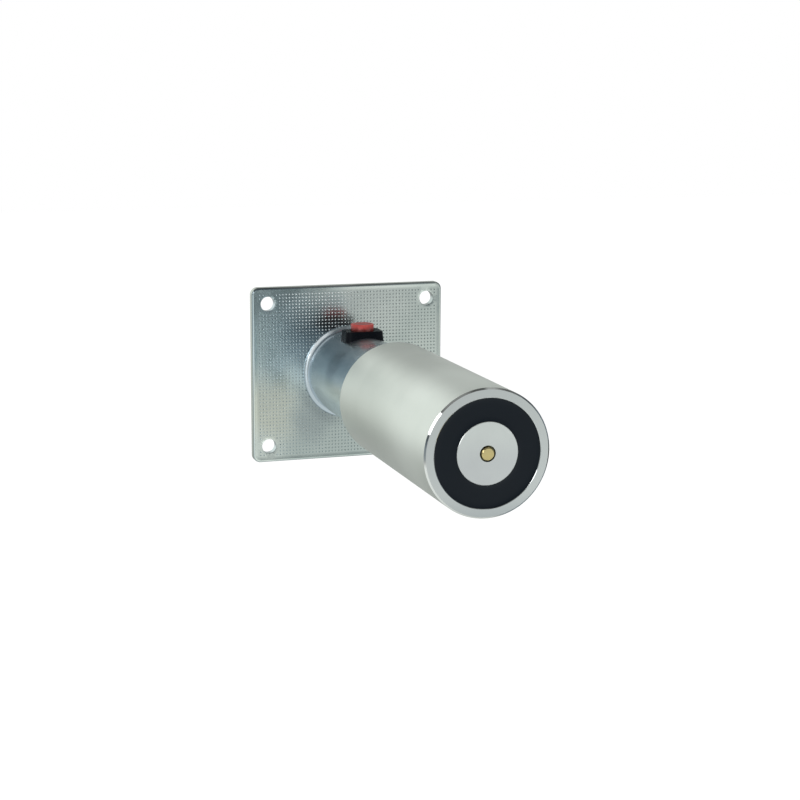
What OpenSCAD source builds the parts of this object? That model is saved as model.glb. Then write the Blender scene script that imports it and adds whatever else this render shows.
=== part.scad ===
// Holding magnet on a spacer tube with a wall plate and a release button.
// The wall plane is y = 0, the armature face looks along -Y, the button is on +Z. Sizes are in mm.

/* [Mounting plate] */
// Plate width across X
plate_w = 110; // [90:1:140]
// Plate height along Z
plate_h = 98; // [80:1:130]
// Plate thickness
plate_t = 5; // [3:0.5:8]
// Corner radius of the plate outline
plate_corner_r = 4; // [1.5:0.5:10]
// Roll-over of the stamped front edge
plate_edge = 1.2; // [0.4:0.1:1.4]
// Diameter of the four fixing holes
fix_hole_d = 8; // [5:0.5:10]
// Distance of the fixing holes from the plate's edges
fix_edge = 9; // [7:0.5:14]
// Cable opening in the middle of the plate
cable_opening_d = 30; // [20:1:36]

/* [Cable grommet] */
// Hole for the cable
grommet_bore_d = 8; // [5:0.5:14]
// Overlap of the flange round the opening, a side
grommet_overlap = 2.5; // [1:0.25:5.5]
// Flange thickness
grommet_flange_t = 2; // [1:0.25:3]
// Setback of the grommet from the wall plane
grommet_setback = 0.3; // [0.1:0.1:1]
// Depth of the funnel that guides the cable in
grommet_funnel = 2.4; // [1:0.2:4]
// Widening of the funnel at its mouth, a side
grommet_mouth = 4.4; // [2:0.2:6]
// Chamfer of the flange rim
grommet_rim = 0.5; // [0.2:0.1:1]

/* [Spacer tube] */
// Outer diameter of the spacer tube
tube_od = 48; // [42:0.5:50]
// Wall thickness of the spacer tube
tube_wall = 2; // [1.5:0.25:3]
// Distance of the tube's free end from the wall
tube_end_d = 121; // [110:1:130]
// Size of the weld bead round the tube foot
bead_r = 2.2; // [1:0.1:3.5]

/* [Release button] */
// Distance of the button axis from the wall
button_d = 32; // [22:1:60]
// Bezel length across X at its foot
bezel_w = 22.4; // [18:0.2:28]
// Bezel width along the tube at its foot
bezel_h = 15.8; // [15:0.1:20]
// Bezel corner radius at its foot
bezel_corner_r = 4.5; // [2:0.25:6]
// Draft of the bezel sides up to its top
bezel_draft = 0.8; // [0.2:0.1:1]
// Height of the bezel top over the tube
bezel_rise = 3.5; // [2:0.25:8]
// Depth of the bezel foot round the tube, under its lowest saddle line
bezel_foot = 2; // [0.5:0.25:4]
// Softened top edge of the bezel
bezel_edge = 0.5; // [0.2:0.1:0.8]
// Depth of the recess that the button sinks into
bezel_recess_depth = 2.8; // [1:0.1:3]
// Outer diameter of the threaded neck
neck_od = 11; // [9:0.5:12]
// Play of the neck in the tube wall, a side
neck_clear = 0.15; // [0.1:0.05:0.7]
// Free length of the neck under its nut
neck_tail = 4; // [2:0.5:6]
// Spigot at the neck's lower end
spigot_od = 9.6; // [8:0.1:10.5]
// Button cap diameter
cap_d = 12.5; // [8:0.1:12.8]
// Play of the cap in the bezel recess, a side
cap_clear = 0.25; // [0.15:0.05:0.4]
// Height of the button's top over the bezel
cap_rise = 3.6; // [1.5:0.1:6.5]
// Thickness of the button cap
cap_t = 4; // [2:0.1:5]
// Rounding of the cap's top edge
cap_edge = 0.6; // [0.2:0.1:1]
// Plunger stem diameter
stem_d = 6.9; // [4:0.1:8]
// Running clearance round the stem, a side
stem_clear = 0.08; // [0.03:0.01:0.1]
// Plunger tip inside the cap
plunger_tip_d = 4; // [2:0.1:5]
// Thickness of the cap over that tip
cap_roof = 1.6; // [0.8:0.1:1.8]
// Retaining collar diameter
collar_d = 8.8; // [8:0.1:9.4]
// Retaining collar thickness
collar_t = 1; // [0.6:0.1:2]
// Gap between collar and spigot at rest
collar_gap = 0.3; // [0.1:0.1:0.6]
// Plunger shoulder diameter over the contact bridge
shoulder_d = 5; // [4:0.1:6]
// Plunger post diameter through the contact bridge
post_d = 3; // [2:0.1:4]
// Length of the post under the bridge
post_l = 1.8; // [1:0.1:2]

/* [Bezel fixing] */
// Outer diameter of the saddle washer
washer_od = 16; // [14:0.5:20]
// Thickness of the saddle washer on its centre line
washer_t = 2; // [1.8:0.1:3]
// Width across flats of the bezel nut
nut_af = 15; // [13:0.5:18]
// Thickness of the bezel nut
nut_t = 3; // [2:0.25:4]
// Play between nut and neck, a side
nut_clear = 0.05; // [0.02:0.01:0.1]

/* [Switch] */
// Switch housing width across X
switch_w = 17; // [16:0.5:22]
// Switch housing width along Y
switch_l = 13; // [12:0.5:18]
// Height of the switch housing
switch_h = 13; // [12:0.5:16]
// Switch housing side wall
switch_wall = 1.2; // [0.8:0.1:1.6]
// Switch housing top wall
switch_top_t = 1.5; // [1:0.1:2]
// Thickness of the terminal cover
cover_t = 1.6; // [1:0.1:2]
// Play of cover and contact legs in their seats, a side
switch_clear = 0.05; // [0.02:0.01:0.1]
// Contact strip thickness
strip_t = 0.6; // [0.4:0.1:0.8]
// Contact strip width
strip_w = 3; // [2:0.25:4]
// Contact pip diameter
pip_d = 2; // [1:0.1:2.4]
// Fixed contact pip height
pip_t = 0.3; // [0.2:0.1:0.6]
// Moving contact pip height
bridge_pip_t = 0.4; // [0.2:0.1:0.6]
// Distance of a contact pip from the button axis
pip_x = 4.4; // [4:0.1:5]
// Gap between the contact pips at rest
contact_gap = 0.05; // [0.02:0.01:0.1]
// Height of the fixed strips over the switch's lower face
strip_rise = 7.3; // [7:0.1:8]
// Length of the moving contact bridge
bridge_l = 11.6; // [10:0.1:12]
// Length of the solder lugs under the cover
lug_l = 4; // [2:0.25:6]
// Eye in a solder lug
lug_eye_d = 1.2; // [0.8:0.1:1.6]
// Wire diameter of the button spring
button_wire_d = 0.4; // [0.3:0.05:0.5]
// Outer diameter of the button spring
button_spring_od = 4.8; // [4:0.1:6]

/* [Magnet housing] */
// Outer diameter of the magnet housing
housing_od = 60; // [58:0.5:70]
// Length of the magnet housing
housing_len = 134; // [120:1:150]
// Distance of the armature face from the wall
face_d = 225; // [210:1:240]
// Depth of the coil bore behind the face
coil_bore_depth = 56; // [50:1:60]
// Bore over the adapter ring
rear_bore_d = 54; // [53:0.2:56]
// Polished chamfer at the face edge
face_chamfer = 0.8; // [0.3:0.1:2]
// Chamfer at the rear edge
rear_chamfer = 0.5; // [0.2:0.1:1]

/* [Adapter ring and grub screws] */
// Length of the adapter ring
adapter_len = 24; // [16:1:28]
// Setback of the adapter ring from the housing's rear edge
adapter_setback = 1; // [0.5:0.5:3]
// Play between tube, ring and housing, a side
adapter_clear = 0.05; // [0.02:0.01:0.1]
// Grub screw diameter
grub_d = 5; // [4:0.5:6]
// Play of the grub screws in their threads, a side
grub_clear = 0.05; // [0.02:0.01:0.1]
// Setback of the grub screws from the housing surface
grub_setback = 0.4; // [0.1:0.1:1]
// Chamfer of the grub screw point
grub_point = 0.6; // [0.3:0.1:1]
// Hexagon socket of the grub screws, also its depth
grub_hex = 2.5; // [2:0.5:3]
// Distance of the grub screws from the housing's rear edge
grub_from_rear = 13; // [7:1:19]

/* [Pole core and yoke] */
// Pole core diameter
core_d = 29.2; // [26:0.2:32]
// Chamfer of the core's face edge
core_chamfer = 0.2; // [0.1:0.1:1]
// Spigot diameter of the core in the yoke
core_spigot_d = 20; // [16:0.5:24]
// Yoke disc thickness
yoke_t = 10; // [6:0.5:14]
// Counterbore round the pin at the face
pin_recess_d = 7.6; // [6.6:0.1:9]
// Depth of that counterbore
pin_recess_depth = 1.5; // [0.5:0.1:3]
// Depth of the shoulder that holds the pin back
pin_shoulder_depth = 6; // [4:0.5:10]
// Spring chamber diameter
chamber_d = 10; // [9:0.5:12]
// Play of the two coil leads in their hole through the yoke, a side
wire_hole_clear = 0.65; // [0.1:0.05:1.6]
// Distance of that hole from the edge of the yoke
wire_hole_edge = 5.4; // [4.4:0.1:7.4]

/* [Ejector pin] */
// Ejector pin diameter
pin_d = 6; // [4:0.1:7]
// Running clearance round the pin, a side
pin_clear = 0.06; // [0.02:0.01:0.1]
// Stand of the pin over the face, which is its travel
pin_stand = 0.8; // [0.4:0.1:3]
// Chamfer of the pin tip
pin_chamfer = 0.5; // [0.2:0.1:1]
// Play of the pin flange in the chamber, a side
pin_flange_clear = 0.3; // [0.1:0.1:1]
// Pin flange thickness
pin_flange_t = 2; // [1:0.25:3]
// Gap between the flange and its shoulder
pin_seat_gap = 0.05; // [0.02:0.01:0.1]
// Wire diameter of the ejector spring
ejector_wire_d = 1; // [0.6:0.1:1.2]
// Play of the ejector spring in the chamber, a side
ejector_spring_clear = 0.6; // [0.3:0.1:1.5]
// Depth of the spring plug behind the face
plug_depth = 30; // [24:1:36]
// Spring plug length
plug_len = 8; // [6:0.5:12]
// Hexagon socket of the spring plug
plug_hex = 5; // [4:0.5:6]
// Depth of that socket
plug_hex_depth = 4; // [2:0.5:5]

/* [Coil] */
// Thickness of the potting ring at the face
potting_t = 3; // [2:0.25:5]
// Setback of the potting from the face
potting_setback = 0.4; // [0.1:0.1:1]
// Play between bobbin and core, a side
bobbin_clear = 0.2; // [0.1:0.05:0.9]
// Bobbin flange diameter
bobbin_od = 50; // [46:0.2:50.6]
// Play between bobbin and housing bore, a side
bobbin_bore_clear = 0.4; // [0.1:0.1:2.4]
// Gap between bobbin and yoke
bobbin_end_gap = 0.4; // [0.1:0.1:1]
// Bobbin tube wall
bobbin_wall = 1; // [0.6:0.1:1.6]
// Bobbin flange thickness
bobbin_flange_t = 1.4; // [1:0.1:2]
// Height of the flanges over the winding
winding_setback = 2; // [1:0.25:5]
// Tape thickness over the winding
tape_t = 0.5; // [0.2:0.1:1]

/* [Terminal board] */
// Board diameter
board_d = 46; // [42:0.5:50]
// Board thickness
board_t = 1.6; // [1:0.2:2.4]
// Height of the spacers between yoke and board
spacer_h = 8; // [5:0.5:12]
// Spacer diameter
spacer_od = 6; // [5:0.5:8]
// Distance of spacers and screws from the board's edge
spacer_edge = 3.6; // [3:0.1:6]
// Thread diameter of the board screws
board_screw_d = 3; // [2:0.5:3]
// Play of the board screws in board and spacers, a side
board_screw_clear = 0.1; // [0.05:0.05:0.3]
// Head diameter of the board screws
board_head_d = 5.6; // [5:0.1:6]
// Head height of the board screws
board_head_t = 2; // [1.5:0.1:2.5]
// Rounding of their heads
board_head_round = 0.6; // [0.2:0.1:0.8]
// Chamfer of their points
board_screw_point = 0.4; // [0.2:0.1:0.8]
// Free depth under their points
board_screw_run = 0.6; // [0.2:0.1:1]
// Screw length in the yoke
board_screw_in = 5.5; // [4:0.5:8]
// Screw slot width
slot_w = 0.8; // [0.5:0.1:1]
// Screw slot depth
slot_depth = 0.9; // [0.5:0.1:1.2]
// Terminal block width across X
block_w = 15; // [13:0.5:20]
// Terminal block depth along Z
block_l = 10; // [9:0.5:12]
// Terminal block height off the board
block_h = 12; // [11:0.5:15]
// Floor of the terminal block
block_floor = 2; // [1:0.1:2.5]
// Height of the block's centre over the tube axis
block_up = 4; // [2:0.5:6]
// Distance between the two poles
pole_pitch = 7.5; // [6:0.25:10]
// Clamp cage width
cage_w = 4.5; // [4:0.1:5]
// Clamp cage depth
cage_l = 7.1; // [6:0.1:7.5]
// Clamp cage height
cage_h = 6.3; // [5.6:0.1:6.8]
// Distance of a cage's back from its screw
cage_back = 3; // [2.4:0.1:3.2]
// Play of a cage in its pocket
cage_clear = 0.15; // [0.05:0.05:0.3]
// Height of the wire entry off the board
entry_z = 4.6; // [4:0.1:5]
// Diameter of the wire entry
entry_d = 3.4; // [2.5:0.1:3.6]
// Thread diameter of the terminal screws
clamp_screw_d = 2.9; // [2:0.1:3]
// Play of the terminal screws, a side
clamp_clear = 0.05; // [0.02:0.01:0.1]
// Height of their tips over the wire entry
clamp_tip = 1.2; // [0.4:0.1:1.6]
// Gap between a cage and the head of its screw
clamp_gap = 0.55; // [0.2:0.05:0.8]
// Head diameter of the terminal screws
clamp_head_d = 3.8; // [3.2:0.1:4]
// Head height of the terminal screws
clamp_head_t = 1.9; // [1.2:0.1:2.2]
// Solder pin diameter
solder_pin_d = 1.2; // [0.8:0.1:1.3]
// Length of pins and wires under the board
solder_out = 1.4; // [0.8:0.1:2]
// Play of pins and wires in the board, a side
solder_clear = 0.1; // [0.05:0.05:0.2]
// Diode body diameter
diode_d = 2.7; // [2:0.1:4]
// Diode body length
diode_l = 5.2; // [4:0.1:8]
// Diode wire diameter
diode_wire_d = 0.8; // [0.5:0.1:1]
// Distance between the diode's two wire legs
diode_pitch = 12; // [11:0.5:14]
// Depth of the diode under the tube axis
diode_down = 9; // [8:0.5:10]
// Height of the diode body off the board
diode_gap = 0.5; // [0.2:0.1:1]

/* [Leads] */
// Outer diameter of the coil leads
coil_lead_d = 1.5; // [1:0.1:1.8]
// Outer diameter of the switch leads
switch_lead_d = 1.6; // [1:0.1:1.8]
// Play of a lead in its hole, a side
lead_clear = 0.2; // [0.1:0.05:0.4]
// Distance of a coil lead from the middle plane at the coil
coil_lead_x = 1.6; // [1.1:0.1:1.8]
// Distance of a coil lead from the middle plane at the board
coil_pad_x = 4; // [3:0.5:6]
// Depth of the coil pads under the tube axis
coil_pad_z = 17; // [16:0.5:18]
// Distance of a switch lead from the middle plane at the board
switch_pad_x = 10; // [9:0.5:11]
// Depth of the switch pads under the tube axis
switch_pad_z = 14; // [12:0.5:15]
// Depth of the switch leads under the tube axis along the tube
switch_run_z = 15; // [12:0.5:16]

/* [Hidden] */
round_fn = 96;
small_fn = 48;
corner_fn = 32;
over = 1;
tube_r = tube_od / 2;
tube_in_r = tube_r - tube_wall;
tube_len = tube_end_d - plate_t;
fix_spacing_x = plate_w - 2 * fix_edge;
fix_spacing_z = plate_h - 2 * fix_edge;
grommet_flange_d = cable_opening_d + 2 * grommet_overlap;
housing_r = housing_od / 2;
coil_bore_d = bobbin_od + 2 * bobbin_bore_clear;
coil_r = coil_bore_d / 2;
rear_r = rear_bore_d / 2;
rear_d = face_d - housing_len;
yoke_rear_d = face_d - coil_bore_depth;
yoke_front_d = yoke_rear_d + yoke_t;
board_front_d = yoke_rear_d - spacer_h;
board_rear_d = board_front_d - board_t;
spacer_r = board_d / 2 - spacer_edge;
board_hole_d = board_screw_d + 2 * board_screw_clear;
yoke_thread_d = board_screw_d + board_screw_clear;
potting_front_d = face_d - potting_setback;
potting_back_d = potting_front_d - potting_t;
bobbin_id = core_d + 2 * bobbin_clear;
bobbin_rear_d = yoke_front_d + bobbin_end_gap;
bobbin_len = potting_back_d - bobbin_rear_d;
winding_in_r = bobbin_id / 2 + bobbin_wall;
winding_od = bobbin_od - 2 * winding_setback;
winding_rear_d = bobbin_rear_d + bobbin_flange_t;
winding_len = bobbin_len - 2 * bobbin_flange_t;
wire_hole_r = coil_r - wire_hole_edge;
wire_hole_d = 2 * coil_lead_x + coil_lead_d + 2 * wire_hole_clear;
grub_at_d = rear_d + grub_from_rear;
grub_len = housing_r - tube_r - grub_setback;
grub_hole_d = grub_d + 2 * grub_clear;
adapter_front_d = rear_d + adapter_setback;
pin_flange_d = chamber_d - 2 * pin_flange_clear;
ejector_spring_od = chamber_d - 2 * ejector_spring_clear;
pin_flange_front_d = face_d - pin_shoulder_depth - pin_seat_gap;
pin_back_d = pin_flange_front_d - pin_flange_t;
neck_hole_d = neck_od + 2 * neck_clear;
neck_bore_d = stem_d + 2 * stem_clear;
bezel_top_z = tube_r + bezel_rise;
recess_z = bezel_top_z - bezel_recess_depth;
bezel_recess_d = cap_d + 2 * cap_clear;
cap_top_z = bezel_top_z + cap_rise;
cap_base_z = cap_top_z - cap_t;
tip_top_z = cap_top_z - cap_roof;
saddle_z = sqrt(tube_r * tube_r - bezel_w * bezel_w / 4);
nut_z = tube_in_r - washer_t - nut_t;
switch_top_z = nut_z - neck_tail;
switch_base_z = switch_top_z - switch_h;
spigot_z = switch_top_z - switch_top_t;
collar_top_z = spigot_z - collar_gap;
fixed_strip_z = switch_base_z + strip_rise;
bridge_z = fixed_strip_z - pip_t - contact_gap - bridge_pip_t - strip_t;
shoulder_z = bridge_z + strip_t;
post_end_z = bridge_z - post_l;
leg_x = switch_w / 2 - switch_wall - 2 * switch_clear;
spring_in_z = switch_base_z + cover_t;
cage_z = block_floor + cage_clear;
gap_fit = 0.02;
lead_run_x = switch_pad_x - 1;
lead_at_leg_x = leg_x - strip_t - switch_lead_d / 2 - gap_fit;

// Places its children on the tube axis, local z along -Y and local y along +Z.
module out(d) {
  translate([0, -d, 0]) rotate([90, 0, 0]) children();
}

// Places its children on the rear face of the board, local z towards the wall and local y along -Z.
module on_board() {
  translate([0, -board_rear_d, 0]) rotate([-90, 0, 0]) children();
}

// Places its children on the button axis, local z along +Z.
module at_button() {
  translate([0, -button_d, 0]) children();
}

// The two grub screws sit under the housing and on its right, local z outwards.
module at_grubs() {
  translate([0, -grub_at_d, 0]) rotate([180, 0, 0]) children();
  translate([0, -grub_at_d, 0]) rotate([0, 90, 0]) children();
}

module at_spacers() {
  for (a = [90, 210, 330]) rotate([0, 0, a]) translate([spacer_r, 0, 0]) children();
}

module at_poles() {
  for (sx = [-1, 1]) translate([sx * pole_pitch / 2, -block_up, 0]) children();
}

// Cuts a round hole that passes through a body of the given height.
module through(h, d, fn) {
  translate([0, 0, -over]) cylinder(h = h + 2 * over, d = d, $fn = fn);
}

// Swept round wire along a list of points.
function unit(v) = v / norm(v);
function heading(p, i) = unit(p[min(i + 1, len(p) - 1)] - p[max(i - 1, 0)]);
function ring_pts(c, t, ref, r, n) = let (u = unit(cross(t, ref)), v = cross(t, u))
  [for (k = [0 : n - 1]) c + r * (cos(360 * k / n) * u + sin(360 * k / n) * v)];
function blend_pt(a, b, c, d, t) = 0.5 * (2 * b + (c - a) * t + (2 * a - 5 * b + 4 * c - d) * t * t
  + (3 * b - a - 3 * c + d) * t * t * t);
function route(p, n) = [for (i = [0 : len(p) - 2]) for (j = [0 : n - 1])
  blend_pt(p[max(i - 1, 0)], p[i], p[i + 1], p[min(i + 2, len(p) - 1)], j / n), p[len(p) - 1]];
function coil_rise(u, turns, w, h) = u < 1 ? u * w : u > turns - 1 ? h - (turns - u) * w
  : w + (u - 1) * (h - 2 * w) / (turns - 2);
function coil_path(r, w, h, turns, n) = [for (i = [0 : n]) let (u = turns * i / n)
  [r * cos(360 * u), r * sin(360 * u), w / 2 + coil_rise(u, turns, w, h - w)]];

module swept(path, r, ref, n) {
  m = len(path);
  pts = [for (i = [0 : m - 1]) each ring_pts(path[i], heading(path, i), ref, r, n)];
  sides = [for (i = [0 : m - 2]) for (k = [0 : n - 1]) let (a = i * n + k, b = i * n + (k + 1) % n)
    each [[a, a + n, b + n], [a, b + n, b]]];
  first = [for (k = [0 : n - 1]) k];
  last = [for (k = [0 : n - 1]) (m - 1) * n + n - 1 - k];
  polyhedron(points = pts, faces = concat(sides, [first], [last]), convexity = 6);
}

// Wall plate: stamped steel with a rolled front edge, four fixing holes and the cable opening.
module plate_corners(inset, h) {
  for (sx = [-1, 1], sy = [-1, 1])
    translate([sx * (plate_w / 2 - plate_corner_r), sy * (plate_h / 2 - plate_corner_r), 0])
      cylinder(h = h, r = plate_corner_r - inset, $fn = corner_fn);
}

module mounting_plate() {
  color("#b4bcb9") out(0) difference() {
    hull() {
      plate_corners(0, plate_t - plate_edge);
      plate_corners(plate_edge * 0.3, plate_t - plate_edge * 0.3);
      plate_corners(plate_edge, plate_t);
    }
    for (sx = [-1, 1], sy = [-1, 1]) translate([sx * fix_spacing_x / 2, sy * fix_spacing_z / 2, 0])
      through(plate_t, fix_hole_d, round_fn);
    through(plate_t, cable_opening_d, round_fn);
  }
}

// Cable grommet: rubber bush pushed into the plate from inside the tube.
module cable_grommet() {
  neck_len = plate_t - grommet_setback;
  full = neck_len + grommet_flange_t;
  bore_r = grommet_bore_d / 2;
  neck_r = cable_opening_d / 2;
  flange_r = grommet_flange_d / 2;
  color("#26282a") out(grommet_setback) rotate_extrude($fn = round_fn) polygon([
    [bore_r, 0],
    [neck_r, 0],
    [neck_r, neck_len],
    [flange_r, neck_len],
    [flange_r, full - grommet_rim],
    [flange_r - grommet_rim, full],
    [bore_r + grommet_mouth, full],
    [bore_r, full - grommet_funnel]
  ]);
}

// Weld bead that joins tube and plate.
module weld_bead() {
  color("#c9ccc8") out(plate_t) rotate_extrude($fn = round_fn) intersection() {
    translate([tube_r, 0]) circle(r = bead_r, $fn = small_fn);
    translate([tube_r, 0]) square([bead_r + over, bead_r + over]);
  }
}

// Spacer tube with the hole for the button neck.
module spacer_tube() {
  color("#c2cacb") difference() {
    out(plate_t) cylinder(h = tube_len, r = tube_r, $fn = round_fn);
    out(plate_t) through(tube_len, 2 * tube_in_r, round_fn);
    at_button() cylinder(h = tube_r + over, d = neck_hole_d, $fn = small_fn);
  }
}

// Button bezel: moulded cap with a saddle foot, a recess for the button and a threaded neck.
module bezel_corners(inset, z0, h) {
  for (sx = [-1, 1], sy = [-1, 1])
    translate([sx * (bezel_w / 2 - bezel_corner_r), sy * (bezel_h / 2 - bezel_corner_r), z0])
      cylinder(h = h, r1 = bezel_corner_r, r2 = bezel_corner_r - inset, $fn = corner_fn);
}

module button_bezel() {
  foot_z = saddle_z - bezel_foot;
  rise = bezel_top_z - foot_z;
  color("#191b1f") difference() {
    union() {
      difference() {
        at_button() hull() {
          bezel_corners(bezel_draft, foot_z, rise - bezel_edge);
          bezel_corners(bezel_draft + bezel_edge, foot_z, rise);
        }
        out(0) cylinder(h = button_d + bezel_h, r = tube_r, $fn = round_fn);
      }
      at_button() translate([0, 0, switch_top_z])
        cylinder(h = recess_z - switch_top_z, d = neck_od, $fn = small_fn);
      at_button() translate([0, 0, spigot_z])
        cylinder(h = switch_top_t + over, d = spigot_od, $fn = small_fn);
    }
    at_button() translate([0, 0, recess_z])
      cylinder(h = bezel_recess_depth + over, d = bezel_recess_d, $fn = small_fn);
    at_button() translate([0, 0, spigot_z - over])
      cylinder(h = bezel_top_z - spigot_z + 2 * over, d = neck_bore_d, $fn = small_fn);
  }
}

// Red button cap with the socket for the plunger.
module red_button() {
  r = cap_d / 2;
  color("#c9302c") at_button() rotate_extrude($fn = round_fn) polygon([
    [0, tip_top_z],
    [plunger_tip_d / 2, tip_top_z],
    [plunger_tip_d / 2, cap_base_z],
    [r - cap_edge * 0.3, cap_base_z],
    [r, cap_base_z + cap_edge * 0.3],
    [r, cap_top_z - cap_edge],
    [r - cap_edge * 0.3, cap_top_z - cap_edge * 0.3],
    [r - cap_edge, cap_top_z],
    [0, cap_top_z]
  ]);
}

// Plunger: stem, retaining collar, shoulder and post, turned as one piece.
module button_plunger() {
  collar_r = collar_d / 2;
  color("#d8d5cc") at_button() rotate_extrude($fn = small_fn) polygon([
    [0, post_end_z],
    [post_d / 2, post_end_z],
    [post_d / 2, shoulder_z],
    [shoulder_d / 2, shoulder_z],
    [shoulder_d / 2, collar_top_z - collar_t],
    [collar_r, collar_top_z - collar_t],
    [collar_r, collar_top_z],
    [stem_d / 2, collar_top_z],
    [stem_d / 2, cap_base_z],
    [plunger_tip_d / 2, cap_base_z],
    [plunger_tip_d / 2, tip_top_z],
    [0, tip_top_z]
  ]);
}

// Saddle washer: fills the curve between the tube wall and the flat nut.
module saddle_washer() {
  color("#2b2d30") difference() {
    intersection() {
      at_button() translate([0, 0, tube_in_r - washer_t])
        cylinder(h = washer_t + 2 * over, d = washer_od, $fn = small_fn);
      out(0) cylinder(h = 2 * button_d, r = tube_in_r, $fn = round_fn);
    }
    at_button() cylinder(h = tube_r, d = neck_hole_d, $fn = small_fn);
  }
}

// Bezel nut.
module bezel_nut() {
  color("#b9b29a") at_button() translate([0, 0, nut_z]) difference() {
    cylinder(h = nut_t, d = nut_af / cos(30), $fn = 6);
    through(nut_t, neck_od + 2 * nut_clear, small_fn);
  }
}

// Switch housing: open box snapped to the neck, closed by the cover.
module switch_housing() {
  in_w = switch_w - 2 * switch_wall;
  in_l = switch_l - 2 * switch_wall;
  color("#202226") at_button() translate([0, 0, switch_base_z]) difference() {
    translate([-switch_w / 2, -switch_l / 2, 0]) cube([switch_w, switch_l, switch_h]);
    translate([-in_w / 2, -in_l / 2, -over]) cube([in_w, in_l, switch_h - switch_top_t + over]);
    cylinder(h = switch_h + over, d = spigot_od + 2 * switch_clear, $fn = small_fn);
  }
}

// Terminal cover with two slots for the contact legs.
module switch_cover() {
  cover_w = switch_w - 2 * switch_wall - 2 * switch_clear;
  cover_l = switch_l - 2 * switch_wall - 2 * switch_clear;
  slot_x = strip_t + 2 * switch_clear;
  slot_y = strip_w + 2 * switch_clear;
  color("#8d2f28") at_button() translate([0, 0, switch_base_z]) difference() {
    translate([-cover_w / 2, -cover_l / 2, 0]) cube([cover_w, cover_l, cover_t]);
    for (sx = [-1, 1]) translate([sx * (leg_x - strip_t / 2) - slot_x / 2, -slot_y / 2, -over])
      cube([slot_x, slot_y, cover_t + 2 * over]);
  }
}

// Fixed contacts: two bent strips with a contact pip, their legs end in solder lugs.
module fixed_contact() {
  tab_in = pip_x - pip_d / 2 - 0.1;
  lug_z = switch_base_z - lug_l;
  difference() {
    union() {
      translate([tab_in, -strip_w / 2, fixed_strip_z]) cube([leg_x - tab_in, strip_w, strip_t]);
      translate([leg_x - strip_t, -strip_w / 2, lug_z])
        cube([strip_t, strip_w, fixed_strip_z - lug_z + strip_t / 2]);
      translate([pip_x, 0, fixed_strip_z - pip_t])
        cylinder(h = pip_t + strip_t / 2, d = pip_d, $fn = corner_fn);
    }
    translate([leg_x - strip_t - over, 0, lug_z + lug_eye_d]) rotate([0, 90, 0])
      cylinder(h = strip_t + 2 * over, d = lug_eye_d, $fn = corner_fn);
  }
}

module fixed_contacts() {
  color("#c7a54a") at_button() {
    fixed_contact();
    mirror([1, 0, 0]) fixed_contact();
  }
}

// Moving contact bridge on the plunger post.
module contact_bridge() {
  color("#c7a54a") at_button() translate([0, 0, bridge_z]) difference() {
    union() {
      translate([-bridge_l / 2, -strip_w / 2, 0]) cube([bridge_l, strip_w, strip_t]);
      cylinder(h = strip_t, d = post_d + strip_w / 2, $fn = corner_fn);
      for (sx = [-1, 1]) translate([sx * pip_x, 0, strip_t / 2])
        cylinder(h = strip_t / 2 + bridge_pip_t, d = pip_d, $fn = corner_fn);
    }
    through(strip_t, post_d, corner_fn);
  }
}

// Button spring between the cover and the bridge.
module button_spring() {
  r = (button_spring_od - button_wire_d) / 2;
  path = coil_path(r, button_wire_d, bridge_z - spring_in_z - 2 * gap_fit, 4, 64);
  color("#9aa0a3") at_button() translate([0, 0, spring_in_z + gap_fit])
    swept(path, button_wire_d / 2, [0, 0, 1], 8);
}

// Magnet housing: turned steel tube, stepped bore, two tapped holes for the grub screws.
module magnet_housing() {
  step = housing_len - coil_bore_depth;
  color("#b5bdb4") difference() {
    out(rear_d) rotate_extrude($fn = round_fn) polygon([
      [rear_r, 0],
      [housing_r - rear_chamfer, 0],
      [housing_r, rear_chamfer],
      [housing_r, housing_len - face_chamfer],
      [housing_r - face_chamfer, housing_len],
      [coil_r, housing_len],
      [coil_r, step],
      [rear_r, step]
    ]);
    at_grubs() cylinder(h = housing_r + over, d = grub_hole_d, $fn = small_fn);
  }
}

// Adapter ring between the spacer tube and the housing.
module adapter_ring() {
  color("#9ea3a5") difference() {
    out(adapter_front_d) cylinder(h = adapter_len, r = rear_r - adapter_clear, $fn = round_fn);
    out(adapter_front_d) through(adapter_len, tube_od + 2 * adapter_clear, round_fn);
    at_grubs() cylinder(h = housing_r + over, d = grub_hole_d, $fn = small_fn);
  }
}

// Grub screws that clamp the housing on the tube.
module grub_screws() {
  color("#3c3f42") at_grubs() translate([0, 0, tube_r]) difference() {
    rotate_extrude($fn = small_fn) polygon([
      [0, 0],
      [grub_d / 2 - grub_point, 0],
      [grub_d / 2, grub_point],
      [grub_d / 2, grub_len - grub_point / 2],
      [grub_d / 2 - grub_point / 2, grub_len],
      [0, grub_len]
    ]);
    translate([0, 0, grub_len - grub_hex]) cylinder(h = grub_hex + over, d = grub_hex / cos(30), $fn = 6);
  }
}

// Pole core: soft iron, a spigot for the yoke, the spring chamber and the pin guide.
module pole_core() {
  full = coil_bore_depth;
  guide_r = pin_d / 2 + pin_clear;
  recess_r = pin_recess_d / 2;
  color("#b9bcba") out(yoke_rear_d) rotate_extrude($fn = round_fn) polygon([
    [chamber_d / 2, 0],
    [core_spigot_d / 2, 0],
    [core_spigot_d / 2, yoke_t],
    [core_d / 2, yoke_t],
    [core_d / 2, full - core_chamfer],
    [core_d / 2 - core_chamfer, full],
    [recess_r, full],
    [recess_r, full - pin_recess_depth],
    [guide_r, full - pin_recess_depth],
    [guide_r, full - pin_shoulder_depth],
    [chamber_d / 2, full - pin_shoulder_depth]
  ]);
}

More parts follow.
